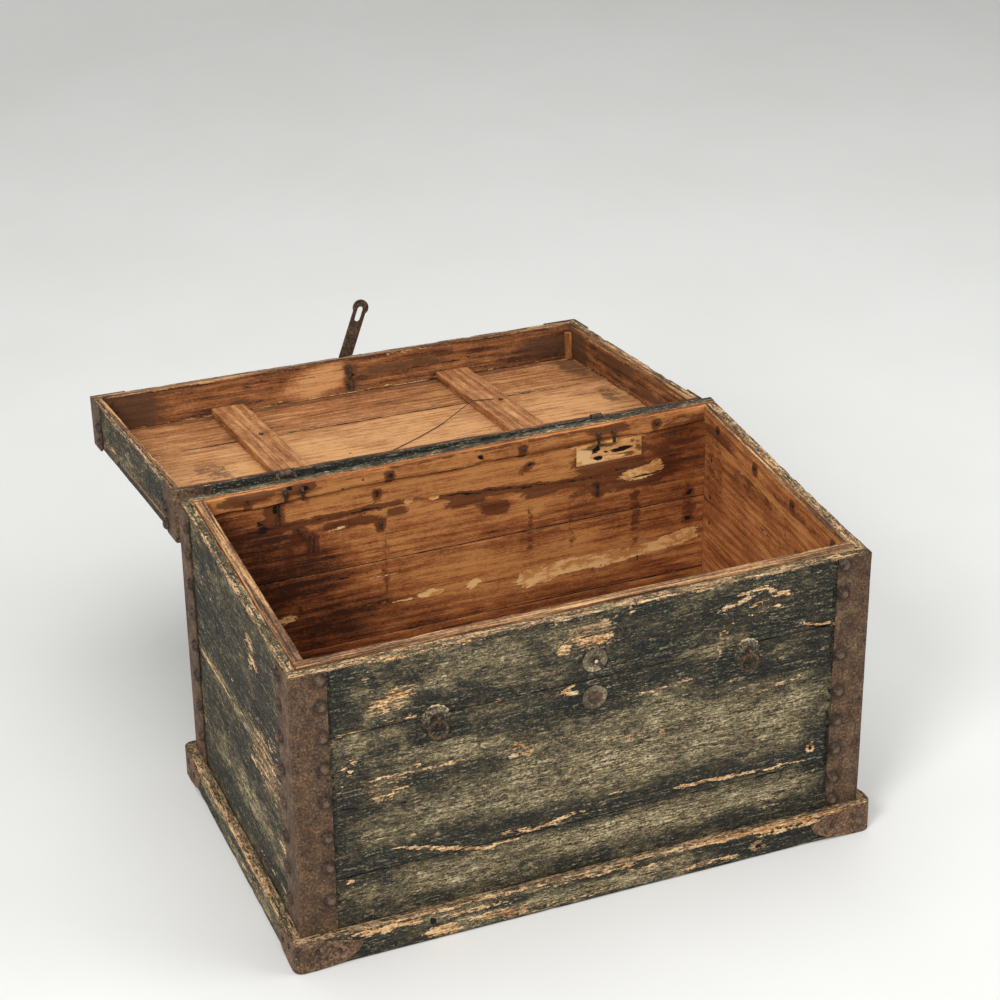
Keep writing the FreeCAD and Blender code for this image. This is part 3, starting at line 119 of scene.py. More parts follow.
class Bench:
    """A node tree being filled."""

    def __init__(self, tree):
        self.tree = tree

    def feed(self, socket, value):
        if isinstance(value, bpy.types.NodeSocket):
            self.tree.links.new(value, socket)
        elif value is not None:
            socket.default_value = value

    def node(self, kind, inputs=None, **settings):
        node = self.tree.nodes.new(kind)
        for key, value in settings.items():
            setattr(node, key, value)
        for key, value in (inputs or {}).items():
            self.feed(node.inputs[key], value)
        return node

    def math(self, operation, first, second=None):
        return self.node("ShaderNodeMath", {0: first, 1: second}, operation=operation).outputs[0]

    def add(self, *terms):
        total = terms[0]
        for term in terms[1:]:
            total = self.math("ADD", total, term)
        return total

    def about(self, value, gain):
        """A noise value moved to lie round zero, times a gain."""
        return self.math("MULTIPLY", self.math("SUBTRACT", value, 0.5), gain)

    def stretch(self, vector, scale):
        return self.node("ShaderNodeVectorMath", {0: vector, 1: scale}, operation="MULTIPLY").outputs[0]

    def noise(self, vector, scale=1.0, detail=4.0, rough=0.6, warp=0.0):
        inputs = {"Vector": vector, "Scale": scale, "Detail": detail, "Roughness": rough, "Distortion": warp}
        return self.node("ShaderNodeTexNoise", inputs).outputs["Fac"]

    def step(self, value, low, high):
        inputs = {"Value": value, "From Min": low, "From Max": high}
        return self.node("ShaderNodeMapRange", inputs, interpolation_type="SMOOTHSTEP").outputs["Result"]

    def mix(self, share, first, second, way="MIX"):
        inputs = {0: share, 6: first, 7: second}
        return self.node("ShaderNodeMix", inputs, data_type="RGBA", blend_type=way).outputs[2]

    def ramp(self, value, stops):
        node = self.node("ShaderNodeValToRGB", {0: value})
        marks = node.color_ramp.elements
        while len(marks) < len(stops):
            marks.new(0.5)
        for mark, (place, colour) in zip(marks, stops):
            mark.position = place
            mark.color = colour
        return node.outputs[0]

    def layer(self, name, output="Fac"):
        return self.node("ShaderNodeAttribute", attribute_name=name).outputs[output]

    def use(self, group, inputs):
        node = self.node("ShaderNodeGroup", node_tree=group)
        for key, value in inputs.items():
            self.feed(node.inputs[key], value)
        return node.outputs


def start_group(name, inputs, outputs):
    """An empty node group with its sockets."""
    tree = bpy.data.node_groups.new(name, "ShaderNodeTree")
    for label, kind, value in inputs:
        socket = tree.interface.new_socket(label, in_out="INPUT", socket_type="NodeSocket" + kind)
        if value is not None:
            socket.default_value = value
    for label, kind in outputs:
        tree.interface.new_socket(label, in_out="OUTPUT", socket_type="NodeSocket" + kind)
    bench = Bench(tree)
    return bench, tree.nodes.new("NodeGroupInput").outputs, tree.nodes.new("NodeGroupOutput").inputs


# %% [markdown]
# Wood grain is one thing seen at several sizes: long streaks along the board, a
# fine fibre, broad cloudy changes, chips, tiny speckles and the arches that the
# year rings draw. All of them read the board's own grain attribute, which runs
# along, across and into each board, so that no two boards share a figure. One
# group gives them to every wood.

# %% Grain group
bench, given, result = start_group(
    "board_grain",
    [("Grain", "Vector", None), ("Along", "Float", 12.0), ("Across", "Float", 220.0)],
    [("Streak", "Float"), ("Fibre", "Float"), ("Cloud", "Float"), ("Speckle", "Float"), ("Chip", "Float"),
     ("Figure", "Float")])
scales = {0: given["Along"], 1: given["Across"], 2: given["Across"]}
long_way = bench.stretch(given["Grain"], bench.node("ShaderNodeCombineXYZ", scales).outputs[0])
bench.feed(result["Streak"], bench.noise(long_way, 1.0, 4.0, 0.72, 0.2))
bench.feed(result["Fibre"], bench.noise(long_way, 2.7, 4.0, 0.75))
bench.feed(result["Cloud"], bench.noise(bench.stretch(given["Grain"], (1.0, 2.2, 2.2)), 16.0, 6.0, 0.70))
bench.feed(result["Speckle"], bench.noise(bench.stretch(given["Grain"], (0.55, 1.0, 1.0)), 430.0, 3.0, 0.8))
bench.feed(result["Chip"], bench.noise(bench.stretch(given["Grain"], (0.5, 1.0, 1.0)), 120.0, 6.0, 0.74, 0.5))
arches = {"Vector": bench.stretch(given["Grain"], (2.2, 16.0, 16.0)), "Scale": 1.5, "Distortion": 7.0,
          "Detail": 3.0, "Detail Scale": 1.3, "Detail Roughness": 0.6}
bench.feed(result["Figure"], bench.node("ShaderNodeTexWave", arches, bands_direction="Y").outputs["Fac"])
board_grain = bench.tree

# %% [markdown]
# Old paint flakes where the board is worn, but it lets go along the grain. The
# flake group takes how worn a place is, adds the streaks and the speckle to
# it, and cuts the sum off sharply: that gives ragged, grain-shaped edges.

# %% Flake group
bench, given, result = start_group(
    "flake_edge",
    [("Amount", "Float", 0.0), ("Streak", "Float", 0.5), ("Fibre", "Float", 0.5), ("Speckle", "Float", 0.5),
     ("Chip", "Float", 0.5), ("Raggedness", "Float", 1.0), ("Low", "Float", 0.45), ("High", "Float", 0.55)],
    [("Mask", "Float")])
ragged = bench.add(bench.about(given["Streak"], 0.7), bench.about(given["Fibre"], 0.6),
                   bench.about(given["Speckle"], 0.6), bench.about(given["Chip"], 1.3))
ragged = bench.math("MULTIPLY", ragged, given["Raggedness"])
bench.feed(result["Mask"], bench.step(bench.add(given["Amount"], ragged), given["Low"], given["High"]))
flake_edge = bench.tree

# %% [markdown]
# Rust is never one brown: it lies in clouds, blisters and pin-sized pits. The
# rust group gives a cloud, a pitting and a scatter of brighter spots.

# %% Rust group
bench, given, result = start_group(
    "rust_bloom", [("Place", "Vector", None)],
    [("Cloud", "Float"), ("Pits", "Float"), ("Spots", "Float")])
bench.feed(result["Cloud"], bench.noise(given["Place"], 38.0, 6.0, 0.68))
bench.feed(result["Pits"], bench.noise(given["Place"], 330.0, 4.0, 0.7))
bench.feed(result["Spots"], bench.noise(bench.stretch(given["Place"], (1.0, 1.0, 0.7)), 115.0, 5.0, 0.75))
rust_bloom = bench.tree
print("groups", [g.name for g in bpy.data.node_groups])

# %% [markdown]
# Every material ends in one Principled shader. The helper makes the material,
# sets the constants on the shader itself and gives back a bench to fill.

# %% Start of a material
def start_material(name, roughness):
    material = bpy.data.materials.new(name)
    material.use_nodes = True
    bench = Bench(material.node_tree)
    shader = material.node_tree.nodes["Principled BSDF"]
    shader.inputs["Roughness"].default_value = roughness
    return material, bench, shader.inputs


def relief(bench, inputs, height, depth):
    bump = bench.node("ShaderNodeBump", {"Height": height, "Distance": depth, "Strength": 1.0})
    bench.feed(inputs["Normal"], bump.outputs[0])


# %% [markdown]
# The outside was painted a dark green that is almost black by now. Under it
# the weathered board is khaki, and fresh breaks show orange and pale wood.
# Five layers are painted on each board's points further down: coat says how
# much paint is left and, in a few marks, darkens it as painted shade; raw where
# the wood is broken open; scar where dirt or a crack is, and a painted shadow
# line beside an iron; stain where the paint is rubbed thin; and rim where an
# edge is rubbed bare. Each is cut off along the grain, by the same small helper.

# %% Painted wood
def start_grain(bench, along, across):
    """The grain's outputs, and a function that cuts an amount off sharply along the grain."""
    grain = bench.use(board_grain, {"Grain": bench.layer("grain", "Vector"), "Along": along, "Across": across})
    parts = {name: grain[name] for name in ("Streak", "Fibre", "Speckle", "Chip")}

    def flaked(amount, raggedness, low, high):
        inputs = {**parts, "Amount": amount, "Raggedness": raggedness, "Low": low, "High": high}
        return bench.use(flake_edge, inputs)[0]

    return grain, flaked


def painted_wood():
    material, bench, inputs = start_material("painted_wood", 0.78)
    grain, flaked = start_grain(bench, 20.0, 165.0)
    streak, fibre, cloud, speckle, chip = (grain[k] for k in ("Streak", "Fibre", "Cloud", "Speckle", "Chip"))
    tone = bench.add(0.5, bench.about(fibre, 1.5), bench.about(speckle, 1.6), bench.about(streak, 1.1),
                     bench.about(chip, 0.7))
    weathered = bench.ramp(tone, [(0.22, seen(46, 41, 31)), (0.42, seen(106, 95, 70)),
                                  (0.58, seen(156, 139, 103)), (0.76, seen(230, 212, 172))])
    paint = bench.ramp(tone, [(0.22, seen(14, 16, 15)), (0.5, seen(34, 36, 32)), (0.70, seen(70, 68, 55)),
                              (0.86, seen(150, 134, 104))])
    rubbed = bench.ramp(tone, [(0.22, seen(72, 54, 40)), (0.5, seen(134, 104, 74)),
                               (0.76, seen(212, 176, 132))])
    broken = bench.ramp(tone, [(0.22, seen(116, 72, 40)), (0.48, seen(198, 142, 86)),
                               (0.78, seen(244, 214, 166))])

    cover = bench.add(0.5, bench.about(bench.layer("coat_and_shade"), 0.72), bench.about(cloud, 1.7))
    coat_and_shade = flaked(cover, 2.3, 0.42, 0.56)
    colour = bench.mix(coat_and_shade, weathered, paint)
    lifted = bench.math("MULTIPLY", coat_and_shade, bench.math("SUBTRACT", 1.0, coat_and_shade))
    colour = bench.mix(bench.math("MULTIPLY", lifted, 1.1), colour, seen(176, 144, 106))
    colour = bench.mix(flaked(bench.layer("rim"), 1.5, 0.44, 0.58), colour, rubbed)
    colour = bench.mix(flaked(bench.layer("stain"), 1.5, 0.40, 0.64), colour, rubbed)
    raw = flaked(bench.add(bench.layer("raw"), 0.06), 1.5, 0.50, 0.56)
    colour = bench.mix(raw, colour, broken)
    scar_and_shadow = flaked(bench.layer("scar_and_shadow"), 1.2, 0.45, 0.60)
    colour = bench.mix(scar_and_shadow, colour, seen(19, 16, 13))
    bench.feed(inputs["Base Color"], colour)
    inputs["Specular IOR Level"].default_value = 0.3
    bench.feed(inputs["Roughness"], bench.add(0.68, bench.math("MULTIPLY", fibre, 0.3)))
    height = bench.add(bench.math("MULTIPLY", fibre, 0.8), bench.math("MULTIPLY", speckle, 0.7),
                       bench.math("MULTIPLY", coat_and_shade, 0.4), bench.math("MULTIPLY", raw, -0.5),
                       bench.math("MULTIPLY", scar_and_shadow, -0.6))
    relief(bench, inputs, height, 0.0010)
    return material


PAINTED = painted_wood()

# %% [markdown]
# Bare wood has the same layers with another meaning: coat is how dark it has
# become, raw is a pale crust of old glue or paper, stain a dark run or blot,
# scar a crack or a nail hole, rim a greyed edge. One function makes every bare
# wood from five colours.

# %% Bare woods
def bare_wood(name, dark, middle, light, crust, stained):
    material, bench, inputs = start_material(name, 0.66)
    grain, flaked = start_grain(bench, 7.0, 210.0)
    streak, fibre, cloud, speckle, chip = (grain[k] for k in ("Streak", "Fibre", "Cloud", "Speckle", "Chip"))
    fine = bench.add(bench.about(streak, 0.5), bench.about(fibre, 0.9), bench.about(speckle, 0.7))
    tone = bench.add(0.5, fine, bench.about(cloud, 1.0), bench.about(chip, 0.3),
                     bench.about(grain["Figure"], 0.14), bench.about(bench.layer("coat_and_shade"), -0.7))
    colour = bench.ramp(tone, [(0.12, dark), (0.47, middle), (0.80, light)])
    pores = bench.math("MULTIPLY", bench.step(fibre, 0.43, 0.33), 0.42)
    colour = bench.mix(pores, colour, dark)
    stain = flaked(bench.add(bench.layer("stain"), bench.about(cloud, 0.7)), 1.2, 0.40, 0.56)
    colour = bench.mix(bench.math("MULTIPLY", stain, 0.8), colour, stained)
    worn = bench.ramp(bench.add(0.5, fine, bench.about(streak, 1.2)),
                      [(0.30, seen(62, 44, 32)), (0.5, seen(138, 98, 64)), (0.74, seen(216, 170, 118))])
    colour = bench.mix(flaked(bench.layer("rim"), 1.0, 0.30, 0.46), colour, worn)
    raw = flaked(bench.add(bench.layer("raw"), bench.about(cloud, 0.3)), 0.8, 0.49, 0.52)
    crusted = bench.mix(bench.step(bench.add(chip, bench.about(cloud, 1.0)), 0.40, 0.56), light, crust)
    colour = bench.mix(raw, colour, crusted)
    scar_and_shadow = flaked(bench.layer("scar_and_shadow"), 1.2, 0.44, 0.62)
    colour = bench.mix(scar_and_shadow, colour, seen(26, 17, 12))
    bench.feed(inputs["Base Color"], colour)
    inputs["Specular IOR Level"].default_value = 0.3
    bench.feed(inputs["Roughness"], bench.add(0.56, bench.math("MULTIPLY", fibre, 0.25)))
    height = bench.add(bench.math("MULTIPLY", fibre, 0.6), bench.math("MULTIPLY", streak, 0.4),
                       bench.math("MULTIPLY", scar_and_shadow, -0.6), bench.math("MULTIPLY", raw, 0.4))
    relief(bench, inputs, height, 0.0007)
    return material


INNER = bare_wood("liner_wood", seen(68, 36, 19), seen(156, 91, 49), seen(212, 146, 84),
                  seen(255, 206, 138), seen(84, 38, 19))
TRAY = bare_wood("lid_wood", seen(70, 38, 20), seen(160, 102, 58), seen(210, 156, 102),
                 seen(222, 182, 130), seen(84, 56, 36))
FLOOR = bare_wood("floor_wood", seen(56, 32, 16), seen(104, 64, 34), seen(140, 92, 54),
                  seen(170, 128, 84), seen(44, 26, 14))
PATCH = bare_wood("patch_wood", seen(140, 84, 44), seen(214, 148, 84), seen(246, 190, 122),
                  seen(255, 214, 152), seen(78, 44, 26))

# %% [markdown]
# The straps are brown with rust and handling, the studs and pins darker, the
# washers at the lock pale. One function makes each iron from its own colours.
# Two layers come from the pieces: rim, where a raised part shines, and shade,
# where dirt has gathered.

# %% Irons
def rusty_iron(name, dark, middle, light, spot, roughness=0.72):
    material, bench, inputs = start_material(name, roughness)
    place = bench.node("ShaderNodeTexCoord").outputs["Object"]
    rust = bench.use(rust_bloom, {"Place": place})
    tone = bench.add(0.5, bench.about(rust["Cloud"], 1.0), bench.about(rust["Pits"], 1.5))
    colour = bench.ramp(tone, [(0.18, dark), (0.5, middle), (0.82, light)])
    colour = bench.mix(bench.step(rust["Spots"], 0.57, 0.66), colour, spot)
    colour = bench.mix(bench.step(rust["Spots"], 0.42, 0.34), colour, dark)
    # rim: rubbed edges, and painted highlights on stud tops, ring fronts and plate rims
    edge = bench.step(bench.add(bench.layer("rim"), bench.about(rust["Pits"], 0.9)), 0.45, 0.75)
    colour = bench.mix(edge, colour, light)
    # shade: painted shade round studs, in hubs and on the plates' lower halves, and the lower washer's own
    # darker colour
    colour = bench.mix(bench.math("MULTIPLY", bench.layer("shade"), 0.75), colour, dark)
    bench.feed(inputs["Base Color"], colour)
    inputs["Specular IOR Level"].default_value = 0.35
    bench.feed(inputs["Roughness"], bench.add(roughness - 0.12, bench.math("MULTIPLY", rust["Pits"], 0.3)))
    height = bench.add(bench.math("MULTIPLY", rust["Pits"], 0.6), bench.math("MULTIPLY", rust["Cloud"], 0.7))
    relief(bench, inputs, height, 0.0009)
    return material


STRAP = rusty_iron("sheet_iron", seen(40, 29, 21), seen(84, 62, 44), seen(138, 110, 80), seen(112, 74, 46))
FOOT_IRON = rusty_iron("foot_iron", seen(48, 34, 25), seen(100, 74, 54), seen(166, 134, 104),
                       seen(124, 86, 58))
WIRE = rusty_iron("wire", seen(36, 28, 24), seen(62, 48, 40), seen(90, 70, 56), seen(110, 70, 48))
FORGED = rusty_iron("forged_iron", seen(26, 20, 16), seen(58, 43, 33), seen(112, 88, 67),
                    seen(92, 58, 36), 0.55)
ROSE_IRON = rusty_iron("painted_iron", seen(24, 23, 19), seen(62, 58, 45), seen(196, 174, 134),
                       seen(78, 56, 38), 0.62)
WASHER = rusty_iron("pale_washer", seen(50, 38, 27), seen(112, 101, 76), seen(214, 197, 162),
                    seen(98, 72, 46), 0.6)
print("materials", [m.name for m in bpy.data.materials])

# %% [markdown]
# A board starts as a cube at the size and place of its CAD node. Its edges are
# bevelled, then rows of cuts are put in along, across and through it, so that
# there are points to wear down and to paint. Cutting only the edges that run
# one way keeps the faces square, which a plain subdivide of all would not.

# %% Board blanks
def points_of(mesh, what="vertices", field="co"):
    store = getattr(mesh, what)
    flat = np.empty(len(store) * 3, np.float32)
    store.foreach_get(field, flat)
    return flat.reshape(-1, 3).astype(float)


def move_points(mesh, place):
    mesh.vertices.foreach_set("co", place.astype(np.float32).ravel())


def paint_points(mesh, layer, values):
    """Store one number for each point, which the materials read by its name."""
    attribute = mesh.attributes.get(layer) or mesh.attributes.new(layer, "FLOAT", "POINT")
    attribute.data.foreach_set("value", np.asarray(values).astype(np.float32))


def only(piece):
    """Make this piece the only one selected, and active."""
    if bpy.context.mode != "OBJECT":
        bpy.ops.object.mode_set(mode="OBJECT")
    bpy.ops.object.select_all(action="DESELECT")
    piece.select_set(True)
    bpy.context.view_layer.objects.active = piece


def start_block(name, low, high):
    bpy.ops.object.select_all(action="DESELECT")
    centre = (Vector(low) + Vector(high)) / 2
    bpy.ops.mesh.primitive_cube_add(size=1, location=centre, scale=Vector(high) - Vector(low))
    piece = bpy.context.object
    piece.name = piece.data.name = name
    bpy.ops.object.transform_apply(location=True, rotation=True, scale=True)
    return piece


def bevel_all(piece, width, segments=2):
    only(piece)
    bpy.ops.object.mode_set(mode="EDIT")
    bpy.ops.mesh.select_all(action="SELECT")
    bpy.ops.mesh.bevel(offset=width, segments=segments, affect="EDGES")
    bpy.ops.object.mode_set(mode="OBJECT")


def cut_rows(piece, axis, spacing):
    """Cut every edge that runs along one axis into lengths of about the spacing."""
    only(piece)
    while True:
        mesh = piece.data
        place = points_of(mesh)
        ends = np.array([e.vertices[:] for e in mesh.edges])
        run = place[ends[:, 1]] - place[ends[:, 0]]
        length = np.linalg.norm(run, axis=1)
        along = (np.abs(run[:, axis]) > 0.9 * length) & (length > 1.5 * spacing)
        if not along.any():
            return
        cuts = int(min(24, max(1, round(length[along].max() / spacing) - 1)))
        bpy.ops.object.mode_set(mode="EDIT")
        bpy.ops.mesh.select_all(action="DESELECT")
        bpy.ops.mesh.select_mode(type="EDGE")
        bpy.ops.object.mode_set(mode="OBJECT")
        mesh.edges.foreach_set("select", along)
        bpy.ops.object.mode_set(mode="EDIT")
        bpy.ops.mesh.subdivide(number_cuts=cuts)
        bpy.ops.object.mode_set(mode="OBJECT")


# %% [markdown]
# Wear needs noise that is the same on every run. This one lays random heights
# on a lattice by a fixed rule and blends smoothly between them, for thousands
# of points at once.

# %% Soft noise
def lattice(cell, seed):
    value = np.sin(cell[:, 0] * 127.1 + cell[:, 1] * 311.7 + cell[:, 2] * 74.7 + seed * 53.3) * 43758.5453
    return value - np.floor(value)


def soft_noise(place, seed=0):
    """Smooth noise from -1 to 1 at each point."""
    cell = np.floor(place)
    part = place - cell
    part = part * part * (3 - 2 * part)
    total = np.zeros(len(place))
    for step in np.ndindex(2, 2, 2):
        weight = np.prod(np.where(np.array(step) == 1, part, 1 - part), axis=1)
        total += weight * lattice(cell + np.array(step), seed)
    return total * 2 - 1


# %% [markdown]
# Every nail has blackened the wood round it. The nails are separate solids
# inside one CAD node, so they are told apart by walking over their faces.

# %% Nail places
def loose_parts(node, turned_back=None):
    """The separate solids of a node, as arrays of points in mm."""
    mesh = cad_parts[node].data
    place = points_of(mesh)
    keys, index = np.unique(np.round(place * 1e6).astype(np.int64), axis=0, return_inverse=True)
    index = index.ravel()
    parent = list(range(len(keys)))

    def root(a):
        while parent[a] != a:
            parent[a] = parent[parent[a]]
            a = parent[a]
        return a

    for face in mesh.polygons:
        first = root(index[face.vertices[0]])
        for v in face.vertices[1:]:
            parent[root(index[v])] = first
    groups = {}
    for v in range(len(place)):
        groups.setdefault(root(index[v]), []).append(v)
    if turned_back is not None:
        place = np.array([turned_back @ Vector(p) for p in place])
    parts = [place[members] / MM for members in groups.values()]
    return sorted(parts, key=lambda p: tuple(np.round(p.mean(axis=0), 2)))


NAIL_SPOTS = [part.mean(axis=0) for node in ("cut_nails", "clenched_nails", "dome_nail", "ring_eyes")
              for part in loose_parts(node)]
NAIL_STAIN = 2.6
print("nails", len(NAIL_SPOTS))


def blacken(layers, place_mm):
    """Iron stain round each nail, longer below it."""
    for spot in NAIL_SPOTS:
        gap = place_mm - spot
        gap[:, 2] *= np.where(gap[:, 2] < 0, 0.55, 1.0)
        gap = np.linalg.norm(gap, axis=1) / NAIL_STAIN
        layers["scar_and_shadow"] = np.maximum(layers["scar_and_shadow"], np.clip(1.5 - gap / 1.4, 0, 0.8))
        layers["stain"] = np.maximum(layers["stain"], np.clip(1.7 - gap / 2.6, 0, 0.85))


# %% [markdown]
# A mark is an oval or a bar on a face, measured in millimetres along the board
# and up it. The marks were read off the photograph one by one, and are kept by
# the layer that they belong to. Each one is laid over the points that it covers,
# with a wandering outline.

# %% Marks
def ovals(*marks):
    """Each mark: strength, centre along and up, half width, half height and, if it leans, its angle."""
    return [(*mark, 0)[:6] for mark in marks]


def bars(*marks):
    """Each mark: strength, one end, the other end and half width. A bar is a long oval."""
    return [(value, (x1 + x2) / 2, (z1 + z2) / 2, math.hypot(x2 - x1, z2 - z1) / 2 + width, width,
             math.degrees(math.atan2(z2 - z1, x2 - x1))) for value, x1, z1, x2, z2, width in marks]


def lay_marks(layers, marks, across, upward, where):
    """Lay marks on the points for which where is true."""
    spot = np.stack([across / 13, upward / 6, np.full(len(across), 4.2)], axis=1)
    across = across + soft_noise(spot, 61) * 3.0
    upward = upward + soft_noise(spot, 62) * 1.6
    for layer, spots in marks.items():
        for value, middle, height, half_width, half_height, lean in spots:
            turn = math.radians(lean)
            dx = across - middle
            dz = upward - height
            u = (dx * math.cos(turn) + dz * math.sin(turn)) / half_width
            v = (-dx * math.sin(turn) + dz * math.cos(turn)) / half_height
            reach = (np.abs(u) ** 3 + np.abs(v) ** 3) ** (1 / 3)
            cover = np.clip(1.7 - reach, 0, 1) * where
            if layer == "coat_and_shade":
                layers["coat_and_shade"] += (value - layers["coat_and_shade"]) * cover
            else:
                layers[layer] = np.maximum(layers[layer], value * cover)


# %% Marks of the front wall
FRONT_MARKS = {
    # how dark the paint still is, with painted shade round the ring plates: deep fields first, then the pale
    # ones
    "coat_and_shade": ovals(
        (1.1, -297, 345, 12, 40), (1.1, 293, 200, 15, 190), (1.0, 62, 320, 38, 36), (1.0, 28, 234, 14, 12),
        (0.95, 80, 272, 90, 8, 2), (0.9, 120, 345, 60, 16), (0.95, -250, 358, 50, 10),
        (1.0, 70, 118, 200, 9, 1), (1.1, -28, 51, 12, 9), (0.95, 245, 318, 44, 20),
        (0.9, -150, 122, 90, 12), (0.95, -290, 150, 18, 70), (0.9, -60, 262, 60, 10),
        (0.9, 210, 250, 60, 12), (0.9, 190, 60, 100, 12), (0.95, -150, 300, 60, 6, 2),
        # the two 1.3 ovals on the next line are painted shade round the ring plates
        (0.9, -240, 186, 50, 5, -4), (1.3, -182, 276, 24, 26), (1.3, 196, 270, 24, 27),
        (1.1, 6, 292, 26, 44), (0.85, -140, 214, 60, 5), (0.9, 150, 141, 60, 5), (0.25, -108, 348, 94, 16),
        (0.12, 110, 190, 175, 34), (0.1, 40, 80, 200, 14), (0.25, -150, 165, 90, 22),
        (0.2, -180, 245, 60, 10), (0.3, 60, 232, 150, 9), (0.2, -200, 78, 80, 14), (0.3, 150, 300, 30, 10),
        (0.15, 180, 80, 90, 10), (0.2, -260, 280, 36, 8), (0.2, 10, 152, 120, 8)),
    # broken wood
    "raw": ovals(
        (0.55, -264, 356, 4, 3), (0.5, -241, 312, 5, 3), (0.5, -290, 248, 4, 3),
        (0.55, -280, 256, 5, 4, 30), (0.5, -286, 241, 5, 2.4, 30), (0.55, -206, 232, 5, 2.6),
        (0.42, -246, 216, 12, 6, 15), (0.45, -232, 203, 12, 4, 10), (0.62, -87, 226, 9, 4, 10),
        (0.6, -74, 217, 7, 5, 60), (0.5, -92, 214, 6, 3), (0.7, 49, 201, 2.4, 5), (0.7, 89, 200, 2.4, 5),
        (0.75, 6, 343, 15, 5), (0.5, -18, 348, 5, 4), (0.5, -32, 338, 6, 8, 20), (0.5, -113, 291, 4, 2.4),
        (0.5, -26, 279, 7, 3), (0.5, -251, 148, 5, 2.4), (0.5, -216, 141, 5, 2.4), (0.5, -206, 86, 5, 2.4),
        (0.5, -291, 98, 5, 2.4), (0.95, 284, 128, 5, 5), (0.5, 51, 368, 3, 2.4)) + bars(
        (0.9, -253, 319, -216, 330, 3.0), (0.62, -250, 328, -226, 337, 2), (0.62, -41, 281, -17, 290, 2),
        (0.62, 166, 344, 200, 352, 2.2), (0.6, 195, 340, 244, 350, 2), (0.6, 178, 358, 216, 362, 1.8),
        (0.6, 222, 357, 249, 344, 2), (0.5, 200, 330, 236, 336, 2), (0.55, 160, 284, 166, 330, 2.4),
        (0.5, 170, 312, 178, 326, 2), (0.5, 59, 257, 126, 262, 1.8), (0.52, 219, 225, 264, 232, 2.4),
        (0.5, 22, 130, 48, 133, 2), (0.75, 269, 302, 309, 291, 2), (0.5, -306, 292, -201, 296, 1.4),
        (0.45, -301, 225, -86, 225, 1.4), (0.66, -226, 127, -131, 99, 2.4), (0.6, -126, 100, -86, 100, 2),
        (0.55, -120, 113, -75, 113, 2), (0.62, -86, 106, -6, 118, 2.2), (0.66, 114, 117, 180, 116, 2.6),
        (0.56, 180, 116, 269, 112, 1.8), (0.5, -300, 376, -60, 377, 2.4), (0.55, 30, 377, 200, 377, 2)),
    # wood rubbed bare
    "stain": ovals(
        (0.6, -236, 324, 26, 12, 15), (0.5, -241, 210, 22, 14, 15), (0.62, 2, 350, 24, 18)),
    # dark lines and holes, and painted shadow along the corner irons' edges
    "scar_and_shadow": ovals(
        (0.95, 284, 128, 2.6, 2.6)) + bars(
        # the bars at x = -305 and 305 on this line are painted shadow beside the corner irons
        (0.6, -305, 45, -305, 374, 1.8), (0.6, 305, 45, 305, 374, 1.8), (0.6, -301, 196, -221, 188, 1.6),
        (0.6, -66, 206, -60, 178, 2), (0.5, -84, 208, -66, 196, 1.6), (0.5, -75, 196, -70, 180, 1.4),
        (0.6, 269, 299, 309, 288, 1.6), (0.5, -160, 282, -60, 284, 1.4), (0.5, 60, 300, 150, 303, 1.4)),
}

